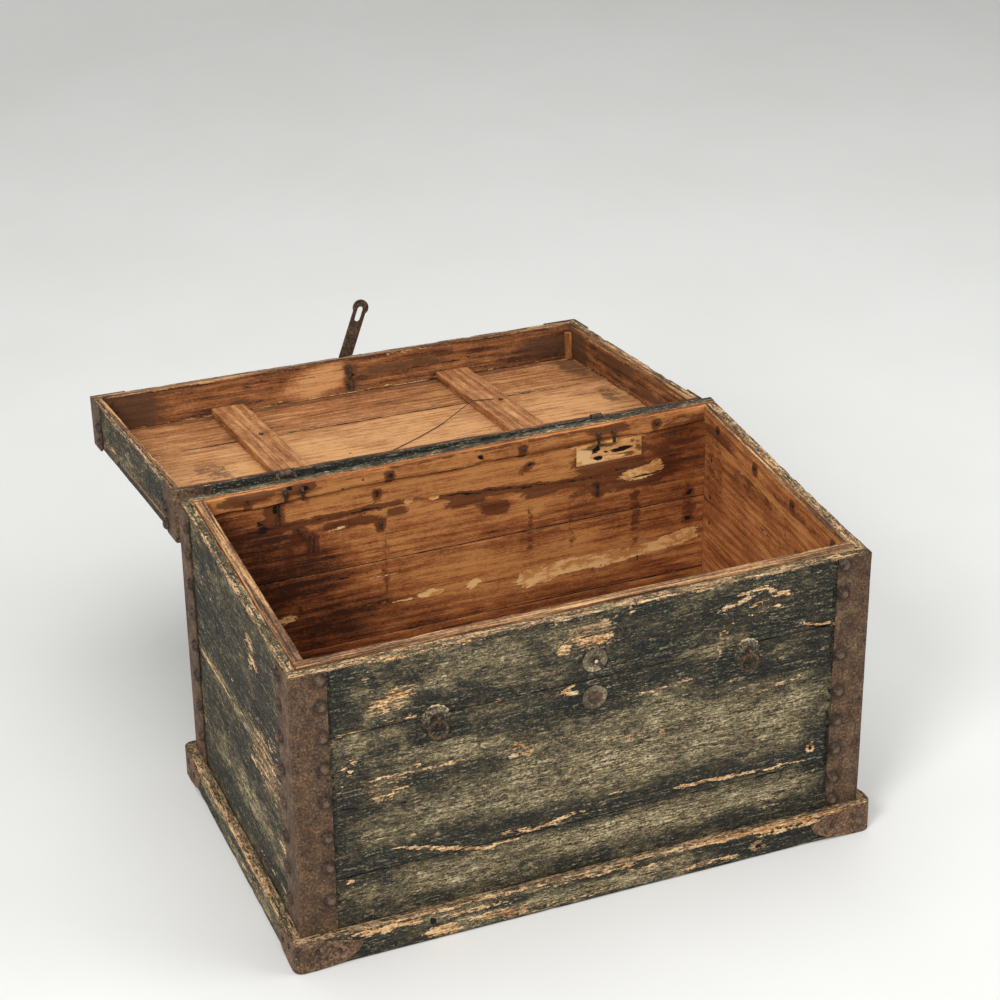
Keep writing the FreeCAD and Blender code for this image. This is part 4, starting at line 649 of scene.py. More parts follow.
# %% Marks of the other walls and rails
BACK_INNER_MARKS = {
    # the coat ovals make this wall darker at its left end and low down
    "coat_and_shade": ovals(
        (0.15, 0, 345, 300, 22), (0.3, 60, 285, 240, 24), (0.2, 100, 205, 230, 26),
        (1.35, -300, 230, 50, 90), (1.1, -230, 150, 130, 60), (0.6, 60, 110, 280, 50),
        (0.7, 300, 320, 40, 60), (0.9, -270, 300, 60, 26), (1.35, -236, 262, 66, 26),
        (0.45, 300, 240, 40, 40), (0.55, 180, 262, 150, 16)),
    "raw": ovals(
        (0.8, -66, 331, 6, 3), (0.8, -33, 330, 6, 3), (0.55, -160, 313, 24, 2.4, 10),
        (1.0, 247, 308, 26, 7, 5), (0.8, 268, 318, 8, 5), (0.55, -96, 196, 40, 2.4), (0.9, -37, 197, 15, 4),
        (0.95, 17, 197, 8, 5, 30), (1.0, 104, 188, 24, 11, 4), (1.0, 175, 194, 44, 8, 4),
        (1.0, 245, 194, 50, 6, 6), (1.0, 300, 202, 24, 9, 6), (1.0, 142, 195, 16, 8),
        (0.5, -235, 200, 24, 6, 10), (0.62, 205, 361, 60, 2)) + bars(
        (0.52, -176, 240, -76, 233, 1.3), (0.5, -60, 331, -30, 329, 2)),
    "stain": ovals(
        (0.95, 48, 299, 19, 8, -6), (0.85, 10, 316, 22, 6), (0.85, 110, 307, 20, 5),
        (0.85, 150, 311, 20, 5), (0.85, -140, 318, 34, 6), (0.7, -80, 322, 12, 5),
        (0.5, 262, 330, 34, 14, 10), (0.5, 300, 345, 26, 12), (0.6, 200, 300, 60, 10),
        (0.95, -236, 346, 12, 22), (0.9, -207, 314, 9, 12, -30), (0.9, -190, 300, 7, 14),
        (0.9, 186, 298, 8, 14), (0.8, -105, 350, 8, 8), (0.7, 89, 345, 12, 5, 25), (0.55, -220, 270, 6, 40),
        (0.5, -97, 250, 4, 46), (0.5, 95, 245, 4, 46), (0.6, 239, 250, 6, 54), (0.4, 150, 255, 4, 50),
        (0.55, 314, 245, 9, 34), (0.9, -325, 270, 14, 100), (0.95, 250, 306, 42, 14, 5),
        (0.9, 206, 332, 44, 22)) + bars(
        (0.8, -290, 329, -70, 333, 4.5), (0.9, -40, 330, 200, 309, 4.5)),
    "scar_and_shadow": ovals(
        (0.6, -253, 335, 6, 9), (0.55, -232, 350, 4, 14), (0.6, -105, 350, 4, 5), (0.55, -101, 308, 3, 4),
        (0.55, 94, 284, 3, 4), (0.8, 316, 265, 3.4, 3.4), (0.8, 313, 226, 3.4, 3.4), (0.6, 230, 182, 2, 4),
        (0.6, 246, 183, 2, 4), (0.6, 180, 180, 3, 4, 30), (0.7, -210, 213, 2, 3),
        (0.6, -240, 200, 3, 2)) + bars(
        (0.62, -290, 331, -70, 331, 1.5), (0.62, -40, 331, 200, 310, 1.5), (0.55, 80, 342, 97, 350, 1.6),
        (0.55, -176, 244, -116, 246, 2.4), (0.45, 130, 312, 330, 326, 1.2), (0.6, 215, 300, 280, 305, 1.6)),
}

RIGHT_INNER_MARKS = {
    "coat_and_shade": ovals(
        (0.45, 0, 230, 200, 150), (0.25, 0, 350, 200, 16)),
    "stain": ovals(
        (0.4, 165, 300, 24, 60), (0.5, 60, 330, 60, 10), (0.5, -100, 300, 50, 8)),
    "scar_and_shadow": ovals(
        (0.8, 176, 316, 3, 3), (0.8, 176, 262, 3, 3), (0.8, 178, 226, 3, 3)) + bars(
        (0.55, -28, 340, -26, 300, 1.6), (0.5, -150, 290, 60, 288, 1.4), (0.45, -60, 250, 150, 246, 1.4)),
}

LEFT_MARKS = {
    "coat_and_shade": ovals(
        (0.7, 0, 300, 200, 70), (1.0, 165, 190, 18, 16), (0.2, -20, 110, 90, 20), (0.25, 60, 212, 110, 8),
        (1.0, 120, 280, 50, 20), (0.95, -120, 290, 40, 14), (0.95, 0, 70, 160, 14), (0.9, 20, 160, 80, 12),
        (0.9, 0, 250, 150, 12)),
    "raw": ovals(
        (0.5, -60, 340, 12, 8, 10), (0.55, -70, 322, 16, 5, 20), (0.55, -60, 312, 8, 4),
        (0.5, 130, 315, 5, 3), (0.5, 95, 313, 5, 3), (0.5, -45, 265, 6, 3), (0.42, -110, 216, 34, 9, 15),
        (0.45, -86, 196, 34, 6, 10), (0.5, -60, 180, 20, 4), (0.45, -130, 240, 16, 10),
        (0.45, 40, 245, 18, 4), (0.42, -150, 120, 14, 9)) + bars(
        (0.55, 155, 211, 0, 212, 4), (0.5, -180, 60, -60, 58, 1.6)),
    "stain": ovals(
        (0.6, -100, 205, 46, 30, 10)),
    "scar_and_shadow": bars(
        # the bars at y = -164.5 and 164.5 on this line are painted shadow beside the corner irons
        (0.6, -164.5, 45, -164.5, 374, 1.8), (0.6, 164.5, 45, 164.5, 376, 1.8),
        (0.5, -150, 262, 120, 258, 1.4), (0.5, -140, 150, 60, 146, 1.4), (0.45, -60, 338, 160, 346, 1.4)),
}

PLINTH_FRONT_MARKS = {
    "coat_and_shade": ovals(
        (1.1, -240, 20, 42, 14), (1.05, 195, 18, 78, 14), (0.1, -40, 20, 140, 12), (0.95, 20, 30, 60, 4),
        (0.9, -120, 26, 40, 4)),
    "raw": ovals(
        (0.7, -186, 10, 18, 7), (0.62, -250, 33, 44, 4), (0.5, -150, 28, 40, 4), (0.6, -80, 8, 40, 3),
        (0.5, 0, 34, 60, 3), (0.55, -120, 14, 36, 4), (0.5, 60, 26, 40, 3), (0.5, -260, 30, 20, 3),
        (0.5, 150, 10, 40, 3), (0.5, 260, 30, 40, 3), (0.4, -20, 8, 60, 2.4)) + bars(
        (0.42, -280, 39, 114, 38, 3), (0.75, 114, 38, 345, 38, 4)),
    "stain": ovals(
        (0.6, 212, 16, 8, 5)),
    "scar_and_shadow": ovals(
        (1.0, -200, 27, 3.6, 3.6), (0.95, 212, 16, 2.6, 2.6)),
}

PLINTH_LEFT_MARKS = {
    "coat_and_shade": ovals(
        (0.2, 0, 20, 180, 12), (1.0, 120, 12, 50, 7), (0.9, -20, 26, 60, 4)),
    "raw": ovals(
        (0.45, -60, 14, 40, 3)) + bars(
        (0.62, -180, 38, 180, 38, 3.4)),
}

# %% [markdown]
# Wear comes in three kinds. Rubbed edges fill the rim layer by their distance
# from the edge. Waves along the grain, cracks and breaks push the surface in.
# Bites take a little out of the long edges. The surface only ever moves inward,
# so that the irons still lie flat on the outside of the boards.

# %% Wear
AXES = {"x": 0, "y": 1, "z": 2}
LAYERS = ("coat_and_shade", "raw", "scar_and_shadow", "stain", "rim")


def rub_edges(rim, gap, depth_in, thick, rim_reach, top, bare_top):
    """The rim layer for one rubbed side. gap is the distance from that side, depth_in from the outer face."""
    for across_gap, most in ((depth_in, 1.0), (thick - depth_in, 0.8)):
        rim = np.maximum(rim, most - np.hypot(gap, across_gap) / rim_reach)
    return np.maximum(rim, np.where(top, bare_top * np.clip(1.6 - gap / 1.2, 0, 1), 0))


def wear_depth(u, v, w, number, near_edge, layers):
    """How far each point moves along its normal, in mm, for places along, across and into the board."""
    ripple = soft_noise(np.stack([u / 60, v / 5.5, w / 8 + number], 1), number) * 0.16
    ripple += soft_noise(np.stack([u / 200, v / 38, w / 50 + number], 1), number + 7) * 0.3
    ripple -= 0.46 + 0.5 * layers["raw"] + 0.5 * layers["scar_and_shadow"]
    bitten = np.clip(soft_noise(np.stack([u / 17, v / 9, w / 9], 1), number + 3) - 0.25, 0, 1)
    return ripple - np.clip(1.4 - near_edge / 2.2, 0, 1) * bitten * 2.2


# %% [markdown]
# Every finished piece is handed over in the same way: it is carried to its
# place if it was made elsewhere, rides on its body and stands for its CAD node.

# %% Hand over
made = []


def hang(piece, body, slot, *nodes, place=None):
    if place is not None:
        piece.data.transform(place)
    piece.data.update()
    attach(piece, body)
    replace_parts(piece, *nodes)
    made.append(piece)


# %% [markdown]
# Dressing a board: the blank is cut into rows, its points get their grain
# attribute and their five layers, and its surface is worn. Its faces near the
# inner side get the inner wood, the others the outer one. The grain attribute
# starts somewhere else for each board, by the board's number.

# %% Dress a board
GRAIN_SHIFT = (1.7, 0.61, 0.37)


def dress_board(name, box, along, face, spacing, body, slot, outer=PAINTED, inner=INNER, marks=None,
                inner_marks=None, coat_and_shade=0.62, inner_coat=0.45, worn=(), reshape=None, place=None, edge=0.9,
                seed=None, rim_reach=4.0, wear=1.0, bare_from=0.55, bare_top=0.55):
    """A worn board. box is its low and high corner in mm, along its grain axis, face the axis and
    sign of its outer side, worn the sides whose edges are rubbed bare."""
    low, high = np.array(box[0], float), np.array(box[1], float)
    piece = start_block(name + "_wood", low * MM, high * MM)
    bevel_all(piece, edge * MM)
    face_axis, long_axis = AXES[face[1]], AXES[along]
    cross_axis = 3 - face_axis - long_axis
    for axis, step in ((long_axis, spacing[0]), (cross_axis, spacing[1]), (face_axis, 4.5)):
        cut_rows(piece, axis, step * MM)
    mesh = piece.data
    place_mm = points_of(mesh) / MM
    normal = points_of(mesh, "vertices", "normal")
    number = seed if seed is not None else len(made) + 1
    u, v, w = (place_mm[:, axis] for axis in (long_axis, cross_axis, face_axis))
    near_edge = np.minimum(np.abs(v - low[cross_axis]), np.abs(v - high[cross_axis]))
    outer_plane = low[face_axis] if face[0] == "-" else high[face_axis]
    depth_in = np.abs(outer_plane - w)
    thick = high[face_axis] - low[face_axis]
    outside = depth_in < thick / 2
    layers = {layer: np.zeros(len(u)) for layer in LAYERS}
    layers["coat_and_shade"] = np.where(outside, coat_and_shade, inner_coat)
    top = ~outside if outer is PAINTED else np.ones(len(u), bool)
    for side in worn:
        axis = AXES[side[1]]
        gap = np.abs(place_mm[:, axis] - (high if side[0] == "+" else low)[axis])
        layers["rim"] = rub_edges(layers["rim"], gap, depth_in, thick, rim_reach, top, bare_top)
    if reshape:
        place_mm = reshape(place_mm)
    lay_marks(layers, marks or {}, place_mm[:, long_axis], place_mm[:, cross_axis], outside)
    lay_marks(layers, inner_marks or {}, place_mm[:, long_axis], place_mm[:, cross_axis], ~outside)
    if place is None:
        blacken(layers, place_mm)
    depth = wear_depth(u, v, w, number, near_edge, layers) * wear
    move_points(mesh, (place_mm + normal * depth[:, None]) * MM)
    grain = np.stack([u, v, w], axis=1) * MM + np.array(GRAIN_SHIFT) * number
    mesh.attributes.new("grain", "FLOAT_VECTOR", "POINT").data.foreach_set(
        "vector", grain.astype(np.float32).ravel())
    for layer in LAYERS:
        paint_points(mesh, layer, np.clip(layers[layer], 0, 1))
    mesh.materials.append(outer)
    mesh.materials.append(inner)
    middle = points_of(mesh, "polygons", "center") / MM
    inward = np.abs(outer_plane - middle[:, face_axis]) > thick * bare_from
    mesh.polygons.foreach_set("material_index", inward.astype(np.int32))
    only(piece)
    bpy.ops.object.shade_smooth_by_angle(angle=math.radians(50))
    hang(piece, body, slot, name, place=place)
    return piece


def node_box(node):
    low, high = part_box(node)
    return low / MM, high / MM


# %% [markdown]
# Front and back walls are three planks each. Their grain runs along X. Each
# plank shares its marks with its neighbours, so a stain crosses the joints. The
# back wall gives way a little round the repair patch, which lies in that bed.

# %% Front and back planks
PATCH_BED = 1.8


def patch_bed(place):
    place = place.copy()
    low, high = node_box("repair_patch")
    x, y, z = place.T
    inside = (x > low.x - 2) & (x < high.x + 2) & (z > low.z - 2) & (z < high.z + 2) & (y < low.y + 1)
    place[:, 1] += np.where(inside, PATCH_BED, 0)
    return place


for level in ("low", "mid", "top"):
    rubbed = ("+z",) if level == "top" else ()
    dress_board(f"front_plank_{level}", node_box(f"front_plank_{level}"), "x", "-y", (4.0, 2.6), "box",
                "painted_wood", marks=FRONT_MARKS, worn=rubbed, rim_reach=3.2, bare_top=0.42,
                bare_from=0.75, seed=3)
    dress_board(f"back_plank_{level}", node_box(f"back_plank_{level}"), "x", "+y", (4.0, 3.0), "box",
                "painted_wood", inner_marks=BACK_INNER_MARKS, coat_and_shade=0.95, worn=rubbed, rim_reach=1.2,
                bare_top=0.1, bare_from=0.75, seed=5, reshape=patch_bed)
print("walls, triangles", sum(len(p.data.polygons) for p in made) * 2)

# %% [markdown]
# The side walls stand between front and back, and their tops climb to the
# back. Each upper plank is made square and then its top is drawn down.

# %% Side planks
FRONT_RIM = 379


def slope_top(bottom, top):
    def reshape(place):
        rim = FRONT_RIM + (place[:, 1] + HALF_DEPTH) * SIDE_CLIMB / SIDE_DEPTH
        share = (place[:, 2] - bottom) / (top - bottom)
        place = place.copy()
        place[:, 2] = bottom + share * (rim - bottom)
        return place
    return reshape


for side, face, marks, inner_marks, rim_reach, bare_top in (
        ("left", "-x", LEFT_MARKS, None, 3.0, 0.2), ("right", "+x", None, RIGHT_INNER_MARKS, 6.0, 0.6)):
    dress_board(f"{side}_plank_low", node_box(f"{side}_plank_low"), "y", face, (4.0, 3.0), "box",
                "painted_wood", marks=marks, inner_marks=inner_marks, inner_coat=0.5, seed=8)
    box = node_box(f"{side}_plank_top")
    dress_board(f"{side}_plank_top", box, "y", face, (4.0, 3.0), "box", "painted_wood", marks=marks,
                inner_marks=inner_marks, inner_coat=0.55, worn=("+z",), rim_reach=rim_reach,
                reshape=slope_top(box[0][2], box[1][2]), bare_top=bare_top, bare_from=0.75, seed=9)

# %% [markdown]
# Four strips line the mouth of the box. The side ones climb with the walls. The
# thin back and right ones were sawn by eye, so their lower edge wanders.

# %% Liners
WANDER = 2.4


def liner_shape(side, low, high):
    def reshape(place):
        place = place.copy()
        climb = 0
        if side in ("left", "right"):
            climb = (place[:, 1] - high.y) * SIDE_CLIMB / SIDE_DEPTH
            place[:, 2] += climb
        if side in ("back", "right"):
            run = place[:, 0 if side == "back" else 1]
            wander = soft_noise(np.stack([run / 42, run * 0, run * 0 + 2.2], 1), 44) + 1
            share = np.clip((place[:, 2] - low.z - climb) / (high.z - low.z), 0, 1)
            place[:, 2] += (1 - share) * WANDER * wander
        return place
    return reshape


LINER_TONE = {"front": 0.75, "back": 0.25, "left": 0.8, "right": 0.4}
LINER_MARKS = {
    "back": {
        "raw": ovals(
            (0.6, 60, 366, 90, 2)),
        "stain": ovals(
            (0.9, -207, 382, 22, 8), (0.9, -270, 380, 30, 8), (0.6, 60, 386, 200, 2.6),
            (0.7, 200, 380, 30, 7), (0.6, 300, 372, 30, 8)),
        "scar_and_shadow": ovals(
            (0.8, -217, 384, 3.4, 3), (0.8, -197, 381, 3.4, 3.4), (0.8, 29, 376, 3, 3),
            (0.7, -125, 376, 2.6, 2.6), (0.7, -151, 368, 2, 3)),
    },
    "right": {
        "stain": ovals(
            (0.7, 150, 360, 40, 10), (0.5, -60, 356, 60, 8)),
        "scar_and_shadow": ovals(
            (0.6, 20, 362, 3, 3)),
    },
    "left": {
        "stain": ovals(
            (0.5, 60, 376, 90, 8)),
    },
}
for side, along, face in (("front", "x", "-y"), ("back", "x", "+y"),
                          ("left", "y", "-x"), ("right", "y", "+x")):
    low, high = node_box(f"liner_{side}")
    if side in ("left", "right"):
        low.z += (high.y - low.y) * SIDE_CLIMB / SIDE_DEPTH
    dress_board(f"liner_{side}", (low, high), along, face, (4.0, 2.6), "box", "liner_wood", outer=INNER,
                rim_reach=7, coat_and_shade=0.35 if side == "back" else 0.55, inner_coat=LINER_TONE[side],
                worn=() if side == "back" else ("+z",), reshape=liner_shape(side, low, high),
                inner_marks=LINER_MARKS.get(side))

# %% [markdown]
# An old repair: a thin pale patch let into the back wall, with slots and knots.

# %% Repair patch
PATCH_MARKS = {
    "raw": ovals(
        (0.9, 167, 346, 9, 8), (0.7, 196, 337, 30, 3)),
    "stain": ovals(
        (0.8, 190, 356, 20, 3), (0.8, 220, 338, 16, 2.4), (0.7, 242, 350, 4, 8)),
    "scar_and_shadow": ovals(
        (0.8, 184, 352, 6, 4, 20), (0.8, 187, 340, 4, 3), (0.95, 220, 346.5, 12.5, 2.6, 2),
        (0.7, 236, 356, 6, 2.4), (0.7, 200, 346, 3, 2.4)),
}
dress_board("repair_patch", node_box("repair_patch"), "x", "-y", (2.2, 1.8), "box", "patch_wood",
            outer=PATCH, inner=PATCH, marks=PATCH_MARKS, coat_and_shade=0.25, edge=0.4, wear=0.3)

# %% [markdown]
# Two bottom boards lie under the walls, and four foot rails run round them.

# %% Bottom and foot rails
for end in ("front", "back"):
    dress_board(f"bottom_board_{end}", node_box(f"bottom_board_{end}"), "x", "-z", (6.0, 5.0), "box",
                "floor_wood", outer=FLOOR, inner=FLOOR, coat_and_shade=0.5)
for side, along, face, spacing, marks in (
        ("front", "x", "-y", (4.0, 2.6), PLINTH_FRONT_MARKS), ("back", "x", "+y", (5.0, 3.0), None),
        ("left", "y", "-x", (4.0, 2.6), PLINTH_LEFT_MARKS), ("right", "y", "+x", (5.0, 3.0), None)):
    dress_board(f"plinth_{side}", node_box(f"plinth_{side}"), along, face, spacing, "box", "painted_wood",
                marks=marks, inner=PAINTED, worn=("+z",), edge=1.6)

# %% [markdown]
# The lid is a shallow tray: four rails, two top boards and two battens across
# their inside. They are made in the closed lid's own frame, Y = 0 at the
# hinge and Z = 0 at the rim, and then carried to the open lid's place.

# %% Lid boards
LID_MARKS = {
    "coat_and_shade": ovals(
        (0.2, 0, -150, 340, 120), (0.55, 0, -345, 340, 50)),
    "stain": ovals(
        (0.5, -250, -190, 20, 36), (0.5, 318, -220, 14, 40), (0.55, 0, -396, 330, 8),
        (0.5, -320, -340, 16, 60), (0.6, 320, -360, 16, 44), (0.35, -150, -300, 80, 12),
        (0.4, 170, -262, 30, 18), (0.35, 60, -292, 200, 6), (0.4, -20, -30, 300, 14)),
    "scar_and_shadow": bars(
        (0.7, -330, -286, 330, -287, 1.6), (0.5, 64, -226, 78, -204, 2), (0.4, -130, -170, 120, -166, 1.4),
        (0.4, 200, -120, 320, -118, 1.4)),
}
RAIL_MARKS = {
    "coat_and_shade": ovals(
        (0.75, 0, 24, 340, 18), (0.15, -34, 28, 32, 17, -12)),
    "raw": bars(
        (0.6, -330, 49, 330, 49, 1.4)),
    "stain": ovals(
        (0.6, 10, 26, 9, 18), (0.6, -150, 40, 14, 6), (0.6, 140, 42, 14, 5), (0.6, -290, 30, 40, 8),
        (0.6, 80, 22, 60, 6), (0.9, -312, 26, 42, 24), (0.7, 300, 30, 40, 14)),
    "scar_and_shadow": ovals(
        (0.5, 8, 28, 5, 14), (0.45, -330, 24, 16, 26)) + bars(
        (0.5, -200, 18, 0, 20, 1.4), (0.5, 60, 30, 260, 26, 1.4)),
}
SIDE_RAIL_MARKS = {
    "coat_and_shade": ovals(
        (0.8, -200, 24, 200, 20)),
    "raw": bars(
        (0.6, -400, 49, -12, 49, 1.4)),
    "stain": ovals(
        (0.8, -380, 30, 30, 20), (0.6, -250, 20, 60, 8), (0.6, -120, 34, 60, 6)),
    "scar_and_shadow": bars(
        (0.5, -330, 24, -120, 26, 1.4)),
}
LID_LEFT_MARKS = {
    "coat_and_shade": ovals(
        (0.4, -200, 30, 180, 18), (0.95, -90, 30, 50, 10)),
    "raw": ovals(
        (0.55, -380, 42, 8, 4), (0.5, -315, 46, 16, 3)) + bars(
        (0.5, -390, 4, -60, 4, 1.6)),
    "scar_and_shadow": ovals(
        (0.7, -60, 30, 4, 4)),
}
lid_boards = (
    ("lid_rail_hinge", (-348, -12, 0), (348, 0, 51), "x", "+y", None, None),
    ("lid_rail_front", (-348, -415, 0), (348, -403, 51), "x", "-y", None, RAIL_MARKS),
    ("lid_rail_left", (-348, -403, 0), (-336, -12, 51), "y", "-x", LID_LEFT_MARKS, None),
    ("lid_rail_right", (336, -403, 0), (348, -12, 51), "y", "+x", None, SIDE_RAIL_MARKS),
    ("lid_board_hinge", (-348, -285.5, 51), (348, 0, 63), "x", "+z", None, LID_MARKS),
    ("lid_board_front", (-348, -415, 51), (348, -286, 63), "x", "+z", None, LID_MARKS),
)
for name, low, high, along, face, marks, inner_marks in lid_boards:
    rail = "rail" in name
    dress_board(name, (low, high), along, face, (4.0, 3.0), "lid", "lid_wood", inner=TRAY, marks=marks,
                inner_marks=inner_marks, coat_and_shade=0.95 if "hinge" in name else 0.62,
                inner_coat=0.95 if rail else 0.42, worn=("-z",) if rail and "hinge" not in name else (),
                place=LID, rim_reach=16 if "right" in name else 6, bare_from=0.55 if rail else 0.85,
                bare_top=0.9 if "right" in name else 0.55)
for name, middle in (("batten_left", -167), ("batten_right", 156)):
    dress_board(name, ((middle - 23.5, -402.5, 39), (middle + 23.5, -12.5, 51)), "y", "-z", (4.0, 3.0),
                "lid", "lid_wood", outer=TRAY, inner=TRAY, coat_and_shade=0.5, inner_coat=0.6, place=LID)
dress_board("lid_corner_strip", ((327, -403, 12), (336, -394, 51)), "z", "-x", (4.0, 3.0), "lid",
            "lid_wood", outer=TRAY, inner=TRAY, coat_and_shade=0.45, place=LID)
print("boards", len(made), "triangles about", sum(len(p.data.polygons) for p in made) * 2)

# %% [markdown]
# Every strap is a sheet of iron folded round a corner. It starts as a flat
# grid as wide as both legs together, is folded over the corner in code, and its
# free edges are rusted ragged. Solidify gives it its thickness, a little less
# than in the CAD model, so that its dents don't reach the wood. Round each stud
# the sheet is darkened with painted shade.

# %% Folded iron sheets
LID_BACK = LID.inverted()
STUD_SPOTS = {"lid": [part.mean(axis=0) for part in loose_parts("lid_studs", LID_BACK)]}
STUD_SPOTS["corner"] = STUD_SPOTS["foot"] = [part.mean(axis=0) for part in loose_parts("box_studs")]
GRID_STEP = 2.4
SHEET = 2.0 * 0.86
IRON_X, IRON_Y = 350, 209.5


def fold(run, radius):
    """Distance in from the two outer faces, for a distance along the sheet from the corner."""
    arc = radius * math.pi / 4
    angle = np.clip(run / radius, -math.pi / 4, math.pi / 4) + math.pi / 4
    beyond = np.abs(run) - arc
    on_x, on_y = (beyond > 0) & (run < 0), (beyond > 0) & (run >= 0)
    x = np.where(on_x, radius + beyond, np.where(on_y, 0, radius - radius * np.sin(angle)))
    y = np.where(on_y, radius + beyond, np.where(on_x, 0, radius - radius * np.cos(angle)))
    return x, y


def fold_sheet(name, legs, height, corner_radius, low_edge, high_edge, corner, ways, ragged=0.9, seed=1,
               finish=STRAP):
    """legs: length of the X leg and the Y leg. low_edge and high_edge give the sheet's lower and upper
    end for a distance from the corner. corner is the outer corner in mm, ways the signs that point out."""
    total = legs[0] + legs[1]
    bpy.ops.object.select_all(action="DESELECT")
    bpy.ops.mesh.primitive_grid_add(x_subdivisions=int(total / GRID_STEP),
                                    y_subdivisions=int(height / GRID_STEP), size=1)
    piece = bpy.context.object
    piece.name = piece.data.name = name
    mesh = piece.data
    flat = points_of(mesh)
    run = (flat[:, 0] + 0.5) * total - legs[0]
    share = flat[:, 1] + 0.5
    legs_at = np.where(run < 0, legs[0], legs[1])
    distance = np.abs(run)
    bottom = np.array([low_edge(d, leg) for d, leg in zip(distance, legs_at)])
    top = np.array([high_edge(d, leg) for d, leg in zip(distance, legs_at)])
    z = bottom + share * (top - bottom)
    noise = soft_noise(np.stack([run / 9, z / 9, np.full(len(z), seed * 3.1)], 1), seed)
    free_end = np.clip(1 - (legs_at - distance) / 4.0, 0, 1)
    run = run - np.sign(run) * free_end * ragged * (0.6 + 0.6 * noise)
    free_top = np.clip(1 - np.minimum(z - bottom, top - z) / 3.0, 0, 1)
    z = z - np.where(share > 0.5, 1, 0) * free_top * ragged * (0.5 + 0.5 * noise)
    x, y = fold(run, corner_radius)
    dent = soft_noise(np.stack([run / 26, z / 34, np.full(len(z), seed * 1.7)], 1), seed + 5) * 0.22 + 0.22
    place = np.stack([corner[0] - ways[0] * (x + dent * 0.6), corner[1] - ways[1] * (y + dent * 0.6),
                      corner[2] + z], axis=1)
    move_points(mesh, place * MM)
    mesh.update()
    spots = STUD_SPOTS[name.split("_")[0]]
    gap = np.min([np.linalg.norm(place - spot, axis=1) for spot in spots], axis=0)
    # painted shade: the sheet is darkened round each stud
    paint_points(mesh, "shade", np.clip(2.1 - gap / 6.2, 0, 0.9))
    paint_points(mesh, "rim", np.maximum(free_end, free_top) * 0.5)
    only(piece)
    bpy.ops.object.mode_set(mode="EDIT")
    bpy.ops.mesh.select_all(action="SELECT")
    bpy.ops.mesh.remove_doubles(threshold=0.00002)
    bpy.ops.mesh.normals_make_consistent(inside=False)
    bpy.ops.object.mode_set(mode="OBJECT")
    outward = Vector((*ways, 0))
    if sum((p.normal.dot(outward) for p in mesh.polygons), 0.0) < 0:
        bpy.ops.object.mode_set(mode="EDIT")
        bpy.ops.mesh.flip_normals()
        bpy.ops.object.mode_set(mode="OBJECT")
    solid = piece.modifiers.new("thickness", "SOLIDIFY")
    solid.thickness = SHEET * MM
    solid.offset = -1
    bpy.ops.object.modifier_apply(modifier=solid.name)
    bpy.ops.object.shade_smooth_by_angle(angle=math.radians(40))
    mesh.materials.append(finish)
    return piece


# %% [markdown]
# The box's corner irons are plain angles. The two rear ones are taller, because
# the rim climbs to the back.

# %% Corner irons of the box
for end, sy, height in (("front", -1, 338), ("back", 1, 344)):
    for side, sx in (("left", -1), ("right", 1)):
        seed = 11 + sx + 2 * sy
        iron = fold_sheet(f"corner_iron_{end}_{side}_strap", (43, 43), height, 2.4, lambda d, leg: 0.0,
                          lambda d, leg, h=height: h, (sx * IRON_X, sy * IRON_Y, 40), (sx, sy), seed=seed)
        hang(iron, "box", "sheet_iron", f"corner_iron_{end}_{side}")


# %% [markdown]
# A foot iron is a leaf on each side of the corner: full height at the bend and
# drawn to a blunt point.

# %% Foot irons
FOOT_X, FOOT_Y = 363, 222.5


def leaf_low(distance, leg):
    return float(np.interp(distance, (0, 22, 0.72 * leg, 0.95 * leg, leg), (0, 0, 4.3, 14.9, 22.8)))


def leaf_high(distance, leg):
    return float(np.interp(distance, (0, 22, 0.60 * leg, 0.93 * leg, leg), (40, 40, 34.6, 28, 25.2)))


for end, sy in (("front", -1), ("back", 1)):
    for side, sx in (("left", -1), ("right", 1)):
        iron = fold_sheet(f"foot_iron_{end}_{side}_leaf", (78, 66), 40, 11, leaf_low, leaf_high,
                          (sx * FOOT_X, sy * FOOT_Y, 0), (sx, sy), seed=21 + sx + 2 * sy, ragged=0.5,
                          finish=FOOT_IRON)
        hang(iron, "box", "sheet_iron", f"foot_iron_{end}_{side}")


# %% [markdown]
# The lid irons stand a little past the lid's top, with the free corner
# rounded off by 12 mm. They are folded in the closed lid's frame and carried
# over with it.

# %% Lid irons
LID_IRON_TOP, ROUNDING = 66, 12
LID_IRON_FRONT, LID_IRON_BACK = -417, 2


def lid_top(distance, leg):
    over = max(0.0, distance - (leg - ROUNDING))
    return LID_IRON_TOP - ROUNDING + math.sqrt(max(0.0, ROUNDING ** 2 - over * over))


for end, sy, y in (("front", -1, LID_IRON_FRONT), ("hinge", 1, LID_IRON_BACK)):
    for side, sx in (("left", -1), ("right", 1)):
        iron = fold_sheet(f"lid_iron_{end}_{side}_strap", (48, 48), LID_IRON_TOP, 2.4, lambda d, leg: 0.0,
                          lid_top, (sx * IRON_X, y, 0), (sx, sy), seed=31 + sx + 2 * sy)
        hang(iron, "lid", "sheet_iron", f"lid_iron_{end}_{side}", place=LID)
print("irons done,", len(made), "pieces")


# %% [markdown]
# The studs are hammered domes. One is modelled: a ball cut in half, with its
# sides made fuller. The cut numbers its points and faces differently on each
# run, so they are put in order. Copies are turned, dented and leaned a little,
# each put where a stud of the CAD node is, and joined as one piece. The top of
# a dome is painted lighter, partly as rubbed iron and partly as a painted highlight.

